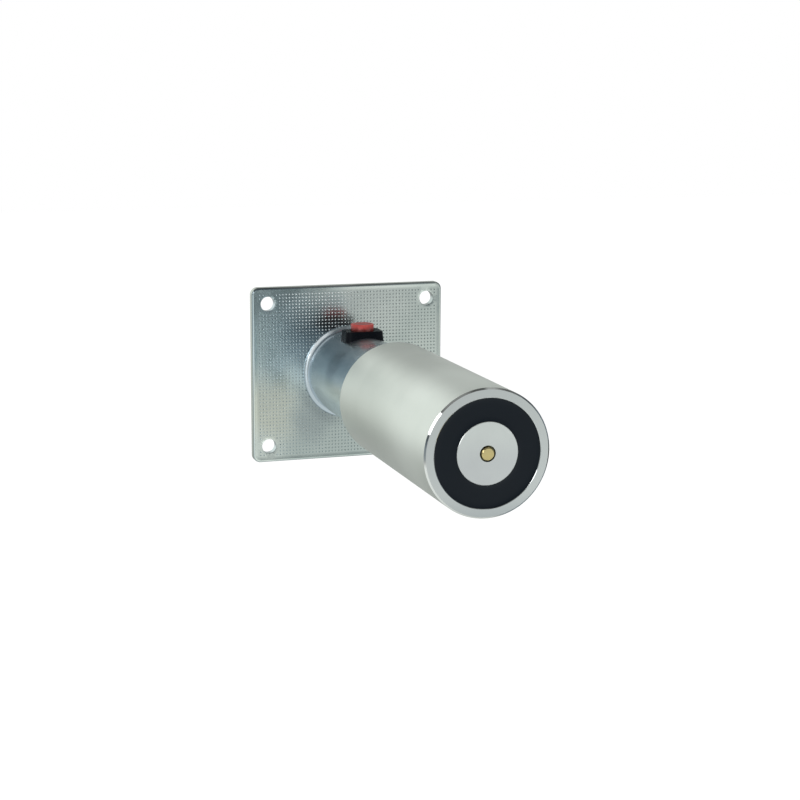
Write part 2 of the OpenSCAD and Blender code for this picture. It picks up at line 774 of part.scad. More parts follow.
// Yoke disc that closes the magnetic circuit behind the coil.
module yoke_disc() {
  color("#a9adac") out(yoke_rear_d) difference() {
    cylinder(h = yoke_t, r = coil_r, $fn = round_fn);
    through(yoke_t, core_spigot_d, round_fn);
    translate([0, -wire_hole_r, 0]) through(yoke_t, wire_hole_d, small_fn);
    at_spacers() translate([0, 0, -over])
      cylinder(h = over + board_screw_in + board_screw_run, d = yoke_thread_d, $fn = small_fn);
  }
}

// Coil bobbin with two holes for the leads in its rear flange.
module coil_bobbin() {
  color("#d9d4c4") out(bobbin_rear_d) difference() {
    rotate_extrude($fn = round_fn) polygon([
      [bobbin_id / 2, 0],
      [bobbin_od / 2, 0],
      [bobbin_od / 2, bobbin_flange_t],
      [winding_in_r, bobbin_flange_t],
      [winding_in_r, bobbin_len - bobbin_flange_t],
      [bobbin_od / 2, bobbin_len - bobbin_flange_t],
      [bobbin_od / 2, bobbin_len],
      [bobbin_id / 2, bobbin_len]
    ]);
    for (sx = [-1, 1]) translate([sx * coil_lead_x, -wire_hole_r, -over])
      cylinder(h = bobbin_flange_t + 2 * over, d = coil_lead_d + 2 * lead_clear, $fn = corner_fn);
  }
}

// Copper winding.
module coil_winding() {
  color("#b06a3a") out(winding_rear_d) difference() {
    cylinder(h = winding_len, d = winding_od, $fn = round_fn);
    through(winding_len, 2 * winding_in_r, round_fn);
  }
}

// Tape over the winding.
module winding_tape() {
  color("#d7b93c") out(winding_rear_d) difference() {
    cylinder(h = winding_len, d = winding_od + 2 * tape_t, $fn = round_fn);
    through(winding_len, winding_od, round_fn);
  }
}

// Potting ring cast between core and housing at the face.
module potting_ring() {
  color("#23272f") out(potting_back_d) difference() {
    cylinder(h = potting_t, r = coil_r, $fn = round_fn);
    through(potting_t, core_d, round_fn);
  }
}

// Ejector pin: turned brass with a retaining flange.
module ejector_pin() {
  full = face_d + pin_stand - pin_back_d;
  color("#c2ac66") out(pin_back_d) rotate_extrude($fn = small_fn) polygon([
    [0, 0],
    [pin_flange_d / 2, 0],
    [pin_flange_d / 2, pin_flange_t],
    [pin_d / 2, pin_flange_t],
    [pin_d / 2, full - pin_chamfer],
    [pin_d / 2 - pin_chamfer, full],
    [0, full]
  ]);
}

// Ejector spring between the pin flange and the plug.
module ejector_spring() {
  r = (ejector_spring_od - ejector_wire_d) / 2;
  from_d = face_d - plug_depth + gap_fit;
  path = coil_path(r, ejector_wire_d, pin_back_d - from_d - gap_fit, 6.5, 78);
  color("#8f9598") out(from_d) swept(path, ejector_wire_d / 2, [0, 0, 1], 8);
}

// Spring plug screwed into the chamber from behind.
module spring_plug() {
  color("#4a4d50") out(face_d - plug_depth - plug_len) difference() {
    cylinder(h = plug_len, d = chamber_d, $fn = small_fn);
    translate([0, 0, -over]) cylinder(h = plug_hex_depth + over, d = plug_hex / cos(30), $fn = 6);
  }
}

// Terminal board: round laminate disc behind the yoke.
module terminal_board() {
  color("#3f6b4a") on_board() translate([0, 0, -board_t]) difference() {
    cylinder(h = board_t, d = board_d, $fn = round_fn);
    rotate([0, 0, 180]) at_spacers() through(board_t, board_hole_d, small_fn);
    at_poles() through(board_t, solder_pin_d + 2 * solder_clear, corner_fn);
    for (sx = [-1, 1]) {
      translate([sx * coil_pad_x, coil_pad_z, 0])
        through(board_t, coil_lead_d + 2 * lead_clear, corner_fn);
      translate([sx * switch_pad_x, switch_pad_z, 0])
        through(board_t, switch_lead_d + 2 * lead_clear, corner_fn);
      translate([sx * diode_pitch / 2, diode_down, 0])
        through(board_t, diode_wire_d + 2 * solder_clear, corner_fn);
    }
  }
}

// Spacers between yoke and board.
module board_spacers() {
  color("#c9ccc8") out(board_front_d) at_spacers() difference() {
    cylinder(h = spacer_h, d = spacer_od, $fn = small_fn);
    through(spacer_h, board_hole_d, small_fn);
  }
}

// Screws that hold the board on its spacers.
module board_screws() {
  full = board_head_t + board_t + spacer_h + board_screw_in;
  head_r = board_head_d / 2;
  color("#9ea3a5") out(board_rear_d - board_head_t) at_spacers() difference() {
    rotate_extrude($fn = small_fn) polygon([
      [0, 0],
      [head_r - board_head_round, 0],
      [head_r, board_head_round],
      [head_r, board_head_t],
      [board_screw_d / 2, board_head_t],
      [board_screw_d / 2, full - board_screw_point],
      [board_screw_d / 2 - board_screw_point, full],
      [0, full]
    ]);
    translate([-board_head_d, -slot_w / 2, -over]) cube([2 * board_head_d, slot_w, over + slot_depth]);
  }
}

// Two-pole terminal block soldered to the board.
module terminal_block() {
  pocket_w = cage_w + 2 * cage_clear;
  pocket_h = cage_h + 2 * cage_clear;
  color("#3d7f52") on_board() difference() {
    translate([-block_w / 2, -block_l / 2 - block_up, 0]) cube([block_w, block_l, block_h]);
    at_poles() {
      translate([-pocket_w / 2, -block_l / 2 - over, block_floor])
        cube([pocket_w, over + block_l / 2 + cage_back + cage_clear, pocket_h]);
      translate([0, 0, block_floor + cage_h / 2])
        cylinder(h = block_h, d = clamp_head_d + 2 * cage_clear, $fn = small_fn);
      translate([0, 0, -over])
        cylinder(h = block_floor + 2 * over, d = solder_pin_d + 2 * solder_clear, $fn = corner_fn);
    }
  }
}

// Clamp cages with their solder pins.
module terminal_cages() {
  color("#c7a54a") on_board() at_poles() difference() {
    union() {
      translate([-cage_w / 2, cage_back - cage_l, cage_z]) cube([cage_w, cage_l, cage_h]);
      translate([0, 0, -board_t - solder_out])
        cylinder(h = board_t + solder_out + cage_z + over / 2, d = solder_pin_d, $fn = corner_fn);
    }
    translate([0, cage_back + over, entry_z]) rotate([90, 0, 0])
      cylinder(h = cage_l + 2 * over, d = entry_d, $fn = small_fn);
    translate([0, 0, entry_z])
      cylinder(h = cage_h, d = clamp_screw_d + 2 * clamp_clear, $fn = small_fn);
  }
}

// Clamp screws of the terminal block.
module terminal_screws() {
  head_z = cage_z + cage_h + clamp_gap;
  tip_z = entry_z + clamp_tip;
  color("#b9bcba") on_board() at_poles() difference() {
    rotate_extrude($fn = small_fn) polygon([
      [0, tip_z],
      [clamp_screw_d / 2, tip_z],
      [clamp_screw_d / 2, head_z],
      [clamp_head_d / 2, head_z],
      [clamp_head_d / 2, head_z + clamp_head_t],
      [0, head_z + clamp_head_t]
    ]);
    translate([-clamp_head_d, -slot_w / 2, head_z + clamp_head_t - slot_depth])
      cube([2 * clamp_head_d, slot_w, slot_depth + over]);
  }
}

// Suppressor diode: body and bent wires.
module suppressor_diode() {
  axis_z = diode_d / 2 + diode_gap;
  leg = axis_z + board_t + solder_out + diode_wire_d / 2 + 0.1;
  color("#33353a") on_board() translate([0, diode_down, 0]) union() {
    translate([-diode_l / 2, 0, axis_z]) rotate([0, 90, 0])
      cylinder(h = diode_l, d = diode_d, $fn = small_fn);
    translate([-diode_pitch / 2, 0, axis_z]) rotate([0, 90, 0])
      cylinder(h = diode_pitch, d = diode_wire_d - 0.15, $fn = corner_fn);
    for (sx = [-1, 1]) translate([sx * diode_pitch / 2, 0, -board_t - solder_out])
      cylinder(h = leg, d = diode_wire_d, $fn = corner_fn);
  }
}

// Coil leads: from the winding through the yoke to the board.
module coil_lead(s) {
  mid_x = (coil_lead_x + coil_pad_x) / 2;
  mid_z = (wire_hole_r + coil_pad_z) / 2;
  pts = [
    [s * coil_lead_x, -winding_rear_d, -wire_hole_r],
    [s * coil_lead_x, -(yoke_rear_d + yoke_t / 2), -wire_hole_r],
    [s * coil_lead_x, -yoke_rear_d, -wire_hole_r],
    [s * mid_x, -(yoke_rear_d - spacer_h / 2), -mid_z],
    [s * coil_pad_x, -board_front_d, -coil_pad_z],
    [s * coil_pad_x, -(board_rear_d - solder_out), -coil_pad_z]
  ];
  swept(route(pts, 3), coil_lead_d / 2, [1, 0, 0], 10);
}

module coil_lead_a() {
  color("#a33a34") coil_lead(-1);
}

module coil_lead_b() {
  color("#2f4f8a") coil_lead(1);
}

// Switch leads: from the solder lugs along the tube to the board.
module switch_lead(s) {
  run = board_rear_d - button_d;
  start_z = switch_base_z - lug_l / 2;
  pts = [
    [s * lead_at_leg_x, -button_d, start_z],
    [s * lead_at_leg_x, -button_d - 0.5, start_z - lug_l],
    [s * (lead_at_leg_x + 1), -button_d - run * 0.06, -switch_run_z * 0.8],
    [s * (lead_run_x - 1), -button_d - run * 0.22, -switch_run_z],
    [s * lead_run_x, -button_d - run * 0.5, -switch_run_z + 1],
    [s * lead_run_x, -button_d - run * 0.77, -switch_run_z],
    [s * switch_pad_x, -button_d - run * 0.93, -switch_pad_z],
    [s * switch_pad_x, -board_rear_d + 1, -switch_pad_z],
    [s * switch_pad_x, -board_front_d - solder_out, -switch_pad_z]
  ];
  swept(route(pts, 6), switch_lead_d / 2, [1, 0, 0], 10);
}

module switch_lead_a() {
  color("#3a3d42") switch_lead(-1);
}

module switch_lead_b() {
  color("#3a3d42") switch_lead(1);
}

mounting_plate();
cable_grommet();
weld_bead();
spacer_tube();
button_bezel();
red_button();
button_plunger();
saddle_washer();
bezel_nut();
switch_housing();
switch_cover();
fixed_contacts();
contact_bridge();
button_spring();
magnet_housing();
adapter_ring();
grub_screws();
pole_core();
yoke_disc();
coil_bobbin();
coil_winding();
winding_tape();
potting_ring();
ejector_pin();
ejector_spring();
spring_plug();
terminal_board();
board_spacers();
board_screws();
terminal_block();
terminal_screws();
terminal_cages();
suppressor_diode();
coil_lead_a();
coil_lead_b();
switch_lead_a();
switch_lead_b();
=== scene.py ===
import bpy
import numpy as np
from mathutils import Matrix, Vector
from mathutils.geometry import delaunay_2d_cdt


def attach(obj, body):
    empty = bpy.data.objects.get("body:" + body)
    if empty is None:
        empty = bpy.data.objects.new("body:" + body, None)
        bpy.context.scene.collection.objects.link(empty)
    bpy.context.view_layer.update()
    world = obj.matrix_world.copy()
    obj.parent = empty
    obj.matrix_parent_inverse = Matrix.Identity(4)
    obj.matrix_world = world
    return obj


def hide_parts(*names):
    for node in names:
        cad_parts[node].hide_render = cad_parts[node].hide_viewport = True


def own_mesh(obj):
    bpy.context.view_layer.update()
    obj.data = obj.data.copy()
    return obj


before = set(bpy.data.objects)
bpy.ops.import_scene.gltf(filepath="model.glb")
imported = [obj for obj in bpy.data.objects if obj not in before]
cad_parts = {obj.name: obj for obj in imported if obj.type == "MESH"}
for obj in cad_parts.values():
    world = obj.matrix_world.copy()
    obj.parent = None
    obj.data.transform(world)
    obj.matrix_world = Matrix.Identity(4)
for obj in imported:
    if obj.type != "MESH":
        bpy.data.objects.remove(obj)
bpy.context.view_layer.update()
scene = bpy.context.scene
scene.view_settings.view_transform = "Standard"

# Camera. The photograph looks at the magnet from the front left and a little above. The lens was
# fitted to the plate's edges and holes, the tube, the housing and the circles of the face.
YAW, PITCH, ROLL = np.radians([-18.106, 10.935, 0.23])
DISTANCE, SLIDE_X, SLIDE_Z = 0.88984, -0.006643, 0.004893
AIM = np.array([0.0, -0.12, 0.0])
FOCAL_PX, FRAME_PX, SENSOR_MM = 1774.718, 800.0, 36.0
back = np.array([np.sin(YAW) * np.cos(PITCH), -np.cos(YAW) * np.cos(PITCH), np.sin(PITCH)])
right = np.array([np.cos(YAW), np.sin(YAW), 0.0])
up = np.cross(back, right)
place = AIM + back * DISTANCE + right * SLIDE_X + up * SLIDE_Z
turned_right = np.cos(ROLL) * right + np.sin(ROLL) * up
turned_up = np.cos(ROLL) * up - np.sin(ROLL) * right
camera = bpy.data.objects.new("camera", bpy.data.cameras.new("camera"))
camera.data.sensor_width = SENSOR_MM
camera.data.lens = SENSOR_MM * FOCAL_PX / FRAME_PX
camera.data.clip_end = 20.0
pose = np.eye(4)
pose[:3, :4] = np.column_stack([turned_right, turned_up, back, place])
camera.matrix_world = Matrix(pose.tolist())
scene.collection.objects.link(camera)
scene.camera = camera


# Studio. A white room: what the lens sees is white, and what the metal mirrors is a pale room that
# is brighter behind on the left and in front, and darker overhead.
def add(tree, kind, inputs=None, **settings):
    """Adds one shader node, sets its settings, and fills its inputs with values or with other sockets."""
    made = tree.nodes.new(kind)
    for key, value in settings.items():
        setattr(made, key, value)
    for key, value in (inputs or {}).items():
        if isinstance(value, bpy.types.NodeSocket):
            tree.links.new(value, made.inputs[key])
        else:
            made.inputs[key].default_value = value
    return made


def math(tree, operation, a, b=0.0, c=0.0, clamp=False):
    """One arithmetic step between sockets or numbers."""
    step = add(tree, "ShaderNodeMath", {0: a, 1: b, 2: c}, operation=operation, use_clamp=clamp)
    return step.outputs[0]


def times(tree, a, b):
    """One number times another."""
    return math(tree, "MULTIPLY", a, b)


def rest(tree, share):
    """What a share leaves of one."""
    return math(tree, "SUBTRACT", 1.0, share)


def blended(tree, share, low, high):
    """Low times what the share leaves of one, plus high times the share."""
    return math(tree, "ADD", times(tree, low, rest(tree, share)), times(tree, high, share))


def vector(tree, operation, *parts, **named):
    """One step between vectors, each a socket or a triple. Lengths, distances and products are numbers."""
    step = add(tree, "ShaderNodeVectorMath", {**dict(enumerate(parts)), **named}, operation=operation)
    return step.outputs["Value" if operation in ("LENGTH", "DISTANCE", "DOT_PRODUCT") else "Vector"]


def ramp(tree, value, low, high, out_low=0.0, out_high=1.0):
    """Carries a value smoothly from out_low at low to out_high at high."""
    ends = {"Value": value, "From Min": low, "From Max": high, "To Min": out_low, "To Max": out_high}
    return add(tree, "ShaderNodeMapRange", ends, interpolation_type="SMOOTHSTEP").outputs["Result"]


def effect(name, outputs, **inputs):
    """Starts a shader node group with number or vector inputs and the named outputs, which are numbers but
    for Color. Returns its tree, its input sockets and a function that closes it with its outputs."""
    group = bpy.data.node_groups.new(name, "ShaderNodeTree")
    for key, value in inputs.items():
        kind = "NodeSocketVector" if isinstance(value, tuple) else "NodeSocketFloat"
        group.interface.new_socket(key, in_out="INPUT", socket_type=kind).default_value = value
    for key in outputs:
        kind = "NodeSocketColor" if key == "Color" else "NodeSocketFloat"
        group.interface.new_socket(key, in_out="OUTPUT", socket_type=kind)
    entry = group.nodes.new("NodeGroupInput")

    def close(**values):
        add(group, "NodeGroupOutput", values)

    return group, entry.outputs, close


def use(tree, group, **inputs):
    """Puts a node group in a material with these inputs and returns its outputs."""
    return add(tree, "ShaderNodeGroup", inputs, node_tree=group).outputs


def mixed(tree, amount, low, high):
    """A colour between low and high."""
    low, high = [(*end, 1.0) if isinstance(end, tuple) else end for end in (low, high)]
    return add(tree, "ShaderNodeMix", {"Factor": amount, 6: low, 7: high}, data_type="RGBA").outputs[2]


def toward(tree, way, axis):
    """How far a direction points along an axis: the cosine of the angle between them."""
    unit = np.array(axis) / np.linalg.norm(axis)
    return vector(tree, "DOT_PRODUCT", way, tuple(unit.tolist()))


room, given, close = effect("room_light", ["Color"], Way=(0.0, 1.0, 0.0))
way = given["Way"]


def lit_up(level, patches):
    """Adds patches to the level of the room. Each has its direction, the cosines where it starts and where
    it is full, and what it adds."""
    for axis, low, high, gain in patches:
        level = math(room, "ADD", level, ramp(room, toward(room, way, axis), low, high, 0.0, gain))
    return level


# Behind the piece a bright patch high on the left, and dimmer ones low down, on the right and overhead.
PATCHES_BEHIND = [
    ((-0.31, 0.93, 0.19), 0.875, 0.99, 0.62),
    ((0.00, 0.90, -0.45), 0.88, 1.00, -0.14),
    ((0.95, 0.20, 0.10), 0.80, 0.97, -0.45),
    ((0.00, 0.20, 1.00), 0.55, 0.92, -0.55),
    ((0.75, 0.35, -0.55), 0.86, 0.97, -0.40),
]

# Ahead of it bright patches above, in front and on the left, the strongest at the front left.
PATCHES_AHEAD = [
    ((-0.33, -0.33, 0.88), 0.90, 0.99, 0.16),
    ((-0.24, -0.95, 0.10), 0.92, 0.99, 0.13),
    ((-0.98, -0.05, -0.10), 0.93, 0.995, 0.50),
    ((-0.72, -0.69, 0.0), 0.90, 0.985, 0.95),
    ((-0.04, -1.0, 0.02), 0.973, 0.999, 0.33),
]
behind = lit_up(0.67, PATCHES_BEHIND)
ahead = ramp(room, toward(room, way, (0.0, 0.0, -1.0)), 0.00, 0.36, 0.10, 0.90)
ahead = lit_up(ahead, [((1.0, 0.0, 0.0), 0.26, 0.36, 0.36)])
far_left = ramp(room, toward(room, way, (1.0, 0.0, 0.0)), -0.93, -0.86, 0.25, 1.0)
ahead = lit_up(times(room, ahead, far_left), PATCHES_AHEAD)
front = ramp(room, toward(room, way, (0.0, 1.0, 0.0)), -0.30, 0.20, 1.0, 0.0)
above_right = ramp(room, toward(room, way, (0.80, 0.00, 0.60)), 0.88, 0.98, 1.0, 0.30)
level = times(room, blended(room, front, behind, ahead), above_right)
tint = mixed(room, ramp(room, level, 0.15, 0.55), (0.72, 0.89, 1.0), (0.955, 1.0, 0.970))
overhead = ramp(room, toward(room, way, (0.0, 0.0, 1.0)), 0.40, 0.75)
tint = mixed(room, overhead, tint, (0.96, 1.0, 0.98))
close(Color=vector(room, "SCALE", tint, Scale=level))


def either(tree, share, first, second):
    """One shader mixed with another by a share."""
    return add(tree, "ShaderNodeMixShader", {0: share, 1: first.outputs[0], 2: second.outputs[0]})


def outlook(tree, way):
    """Whether the lens sees this, whether metal mirrors it, and the room's light as a shader's inputs."""
    ray = add(tree, "ShaderNodeLightPath").outputs
    seen = math(tree, "ADD", ray["Is Camera Ray"], ray["Is Transmission Ray"], clamp=True)
    return seen, ray["Is Glossy Ray"], {"Color": use(tree, room, Way=way)["Color"]}


world = bpy.data.worlds.new("studio")
world.use_nodes = True
scene.world = world
tree = world.node_tree
tree.nodes.clear()
seen, glossy, pale = outlook(tree, add(tree, "ShaderNodeTexCoord").outputs["Generated"])
mirrored = add(tree, "ShaderNodeBackground", pale)
white = add(tree, "ShaderNodeBackground", {"Color": (1.0, 1.0, 1.0, 1.0)})
soft = add(tree, "ShaderNodeBackground", {"Color": (0.98, 0.99, 1.0, 1.0), "Strength": 0.55})
around = either(tree, glossy, soft, mirrored)
add(tree, "ShaderNodeOutputWorld", {"Surface": either(tree, seen, around, white).outputs[0]})


def lamp(name, at, target, width, height, watts):
    """A soft rectangular lamp that points at the target."""
    light = bpy.data.lights.new(name, "AREA")
    light.shape = "RECTANGLE"
    light.size, light.size_y, light.energy = width, height, watts
    made = bpy.data.objects.new(name, light)
    made.location = at
    made.rotation_euler = (Vector(target) - Vector(at)).to_track_quat("-Z", "Y").to_euler()
    made.visible_camera = False
    scene.collection.objects.link(made)
    return made


lamp("soft_box_left", (-1.05, -0.62, 0.60), (0.0, -0.15, 0.0), 0.45, 0.62, 3.0)
fill = lamp("soft_box_front", (0.55, -1.60, 0.75), (0.0, -0.12, 0.0), 0.90, 0.60, 5.0)
fill.visible_glossy = False

FLOOR_Z, FLOOR_HALF = -0.42, 6.0
floor_corners = [(x * FLOOR_HALF, y * FLOOR_HALF, FLOOR_Z) for x, y in ((-1, -1), (1, -1), (1, 1), (-1, 1))]
floor_mesh = bpy.data.meshes.new("floor")
floor_mesh.from_pydata(floor_corners, [], [(0, 1, 2, 3)])
floor = bpy.data.objects.new("floor", floor_mesh)
scene.collection.objects.link(floor)
floor_paint = bpy.data.materials.new("floor_white")
floor_paint.use_nodes = True
tree = floor_paint.node_tree
tree.nodes.clear()
incoming = add(tree, "ShaderNodeNewGeometry").outputs["Incoming"]
seen, glossy, pale = outlook(tree, vector(tree, "SCALE", incoming, Scale=-1.0))
plain = add(tree, "ShaderNodeBsdfDiffuse", {"Color": (0.80, 0.80, 0.80, 1.0)})
bright = add(tree, "ShaderNodeEmission", {"Color": (1.0, 1.0, 1.0, 1.0), "Strength": 1.16})
lit = either(tree, times(tree, seen, 0.85), plain, bright)
shown = either(tree, glossy, lit, add(tree, "ShaderNodeEmission", pale))
add(tree, "ShaderNodeOutputMaterial", {"Surface": shown.outputs[0]})
floor_mesh.materials.append(floor_paint)

# Wall plate. Stamped steel with bright zinc, pressed all over with a fine waffle of round dimples
# that straightens the sheet, a rolled front edge, four punched holes and the cable opening.
PLATE_W, PLATE_H, PLATE_T = 110.0, 98.0, 5.0
CORNER_R, ROLL_R, PUNCH_R = 4.0, 1.2, 0.25
HOLE_R, HOLE_X, HOLE_Z, OPENING_R = 4.0, 46.0, 40.0, 15.0
DOTS_X, DOTS_Z, DIMPLE_R, DIMPLE_DEEP, BORDER = 55, 49, 0.50, 0.29, 2.0
DIMPLE_FLARE, DIMPLE_FLOOR, FLOOR_DEEP = 1.2, 0.6, 0.6
COINED_W, FIELD_SUNK, BACK_EDGE = 0.8, 0.08, 0.3
CORNER_POINTS, SIDE_POINTS, HOLE_POINTS, OPENING_POINTS = 12, 24, 64, 128
CELL_GAP, EDGE_GAP, SHARP_OVER = 0.12, 0.1, 32.0


def mesh_piece(name, points, faces, body):
    """Makes a closed piece from points in millimetres and lists of faces, with its faces turned outwards,
    smooth shading apart from edges over 32 degrees, and normals weighted by the size of the faces."""
    mesh = bpy.data.meshes.new(name)
    rows = [row for block in faces for row in block.tolist()]
    mesh.from_pydata((points / 1000.0).tolist(), [], rows)
    mesh.validate()
    mesh.update()
    volume = 0.0
    for block in faces:
        for k in range(1, block.shape[1] - 1):
            a, b, c = points[block[:, 0]], points[block[:, k]], points[block[:, k + 1]]
            volume += np.einsum("ij,ij->", a, np.cross(b, c))
    if volume < 0.0:
        mesh.flip_normals()
    mesh.polygons.foreach_set("use_smooth", np.ones(len(mesh.polygons), dtype=bool))
    mesh.set_sharp_from_angle(angle=np.radians(SHARP_OVER))
    made = bpy.data.objects.new(name, mesh)
    scene.collection.objects.link(made)
    made.modifiers.new("even_shading", "WEIGHTED_NORMAL").keep_sharp = True
    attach(made, body)
    return made


def rounded_box(half_w, half_h, radius):
    """The outline of a box with round corners, anticlockwise: each corner an arc, each side cut evenly."""
    loop = []
    for k, (sx, sy) in enumerate([(1, -1), (1, 1), (-1, 1), (-1, -1)]):
        turn = np.radians(-90.0 + 90.0 * k + np.linspace(0.0, 90.0, CORNER_POINTS))
        arc_x = sx * (half_w - radius) + radius * np.cos(turn)
        arc_y = sy * (half_h - radius) + radius * np.sin(turn)
        loop.append(np.stack([arc_x, arc_y], 1))
    joined = []
    for k in range(4):
        first, last = loop[k][-1], loop[(k + 1) % 4][0]
        share = np.linspace(0.0, 1.0, SIDE_POINTS + 2)[1:-1, None]
        joined += [loop[k], first + (last - first) * share]
    return np.concatenate(joined)


def circle(x, y, radius, count):
    """A closed ring of points round a centre."""
    turn = np.linspace(0.0, 2.0 * np.pi, count, endpoint=False)
    return np.stack([x + radius * np.cos(turn), y + radius * np.sin(turn)], 1)


def quarter(count):
    """Even turns from nought to a quarter."""
    return np.radians(np.linspace(0.0, 90.0, count))


def loop_edges(first, count):
    """The edges that close a run of points into a ring."""
    at = np.arange(count)
    return np.stack([first + at, first + (at + 1) % count], 1)


def strip(first_a, first_b, count):
    """Quads between two rings with the same number of points."""
    return np.column_stack([loop_edges(first_a, count), loop_edges(first_b, count)[:, ::-1]])


# The waffle: one cell is a square with eight rim points, then rings of eight for the dimple's flare, its
# edge and its floor, and a middle. Cells too near the edge or an opening are left out.
inner_w, inner_h = PLATE_W / 2.0 - ROLL_R - BORDER, PLATE_H / 2.0 - ROLL_R - BORDER
pitch = np.array([2.0 * inner_w / DOTS_X, 2.0 * inner_h / DOTS_Z])
column, row = np.meshgrid(np.arange(DOTS_X) - DOTS_X // 2, np.arange(DOTS_Z) - DOTS_Z // 2)
cell_x, cell_y = column.ravel() * pitch[0], row.ravel() * pitch[1]
corner_x = np.maximum(np.abs(cell_x) + pitch[0] / 2.0 - (PLATE_W / 2.0 - CORNER_R), 0.0)
corner_y = np.maximum(np.abs(cell_y) + pitch[1] / 2.0 - (PLATE_H / 2.0 - CORNER_R), 0.0)
room_left = np.hypot(corner_x, corner_y) < CORNER_R - ROLL_R - COINED_W - EDGE_GAP
bores = [(sx * HOLE_X, sy * HOLE_Z, HOLE_R, HOLE_POINTS) for sx in (-1, 1) for sy in (-1, 1)]
bores.append((0.0, 0.0, OPENING_R, OPENING_POINTS))
for x, y, radius, _ in bores:
    gap_x = np.maximum(np.abs(cell_x - x) - pitch[0] / 2.0, 0.0)
    gap_y = np.maximum(np.abs(cell_y - y) - pitch[1] / 2.0, 0.0)
    room_left &= np.hypot(gap_x, gap_y) > radius + PUNCH_R + CELL_GAP
cells = np.stack([cell_x[room_left], cell_y[room_left]], 1)
rim = np.array([(1, 0), (1, 1), (0, 1), (-1, 1), (-1, 0), (-1, -1), (0, -1), (1, -1)]) * pitch / 2.0
dimple_rings = [circle(0, 0, DIMPLE_R * share, 8) for share in (DIMPLE_FLARE, 1.0, DIMPLE_FLOOR)]
tile = np.concatenate([rim, *dimple_rings, [(0, 0)]])
sink = np.concatenate([np.zeros(24), np.full(8, FLOOR_DEEP), [1.0]]) * DIMPLE_DEEP
tile_quads = np.concatenate([strip(0, 8, 8), strip(8, 16, 8), strip(16, 24, 8)])
tile_tips = np.column_stack([loop_edges(24, 8), np.full(8, 32)])
flat = (cells[:, None, :] + tile[None]).reshape(-1, 2)
depth = np.tile(sink, len(cells))
microns = np.round(flat * 1000).astype(np.int64)
_, first_seen, joined = np.unique(microns, axis=0, return_index=True, return_inverse=True)
joined = joined.ravel()
base = (np.arange(len(cells)) * len(tile))[:, None, None]
quads = joined[(base + tile_quads[None]).reshape(-1, 4)]
tips = joined[(base + tile_tips[None]).reshape(-1, 3)]
flat, depth = flat[first_seen], depth[first_seen]
rims = joined[(base + loop_edges(0, 8)[None]).reshape(-1, 2)]
once, uses = np.unique(np.sort(rims, axis=1), axis=0, return_counts=True)
border = once[uses == 1]

# The outline's rows from back to front as height and inset, then the same rows for the round openings.
field = PLATE_T - FIELD_SUNK
points = [np.column_stack([flat, field - depth])]
total = len(flat)
outline_count = 4 * (CORNER_POINTS + SIDE_POINTS)
rows = [(0.0, BACK_EDGE), (BACK_EDGE, 0.0)]
for t in quarter(8):
    rows.append((PLATE_T - ROLL_R + ROLL_R * np.sin(t), ROLL_R * (1.0 - np.cos(t))))
rows.append((field, ROLL_R + COINED_W))
outline_at = []
for height, inset in rows:
    ring = rounded_box(PLATE_W / 2.0 - inset, PLATE_H / 2.0 - inset, CORNER_R - inset)
    points.append(np.column_stack([ring, np.full(len(ring), height)]))
    outline_at.append(total)
    total += len(ring)
walls = [strip(a, b, outline_count) for a, b in zip(outline_at[:-1], outline_at[1:])]
bore_rows = [(0.0, PUNCH_R), (PUNCH_R, 0.0), (field - PUNCH_R, 0.0)]
bore_rows += [(field - PUNCH_R * 0.3, PUNCH_R * 0.3), (field, PUNCH_R)]
bore_at = []
for x, y, radius, count in bores:
    at = []
    for height, more in bore_rows:
        points.append(np.column_stack([circle(x, y, radius + more, count), np.full(count, height)]))
        at.append(total)
        total += count
    bore_at.append(at)
    walls += [strip(a, b, count) for a, b in zip(at[:-1], at[1:])]
points = np.concatenate(points)


def in_plate(middles):
    """True off the bores."""
    free = np.ones(len(middles), dtype=bool)
    for x, y, radius, _ in bores:
        free &= np.hypot(middles[:, 0] - x, middles[:, 1] - y) > radius + PUNCH_R * 0.99
    free &= (np.abs(middles[:, 0]) < PLATE_W / 2.0) & (np.abs(middles[:, 1]) < PLATE_H / 2.0)
    return free


def off_waffle(middles):
    """True in the plate and on no cell of the waffle."""
    column = np.round(middles / pitch).astype(int)
    taken = set(map(tuple, np.round(cells / pitch).astype(int).tolist()))
    return in_plate(middles) & np.array([tuple(c) not in taken for c in column.tolist()])


def flat_side(row, keep, *edges):
    """Triangles of one flat side of the plate, between these edges and one row of the outline and the
    openings, kept where keep says so of their middles."""
    edges = [*edges, loop_edges(outline_at[row], outline_count)]
    edges = np.concatenate(edges + [loop_edges(at[row], bore[3]) for at, bore in zip(bore_at, bores)])
    used, local = np.unique(edges, return_inverse=True)
    flat = points[used][:, :2]
    made = delaunay_2d_cdt([Vector(p) for p in flat.tolist()], local.reshape(-1, 2).tolist(), [], 0, 1e-6)
    origin = np.array([o[0] for o in made[3]])
    corners = origin[np.array(made[2])]
    return used[corners[keep(flat[corners].mean(axis=1))]]


front = flat_side(-1, off_waffle, border)
rear = flat_side(0, in_plate)
turned = np.column_stack([points[:, 0], -points[:, 2], points[:, 1]])


def wound(faces, way):
    """Faces of one side, each turned so that it looks backwards for a way of 1 and forwards for -1."""
    a, b, c = turned[faces[:, 0]], turned[faces[:, 1]], turned[faces[:, 2]]
    away = np.cross(b - a, c - a)[:, 1] * way
    return np.where((away < 0)[:, None], faces[:, ::-1], faces)


# The outline's walls come first. Those of the openings run the other way.
outer = len(rows) - 1
wall_faces = walls[:outer] + [wall[:, ::-1] for wall in walls[outer:]]
sides = [wound(part, -1) for part in (quads, tips, front)] + [wound(rear, 1)]
plate = mesh_piece("plate_dimpled", turned, sides + wall_faces, "magnet")
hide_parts("mounting_plate")


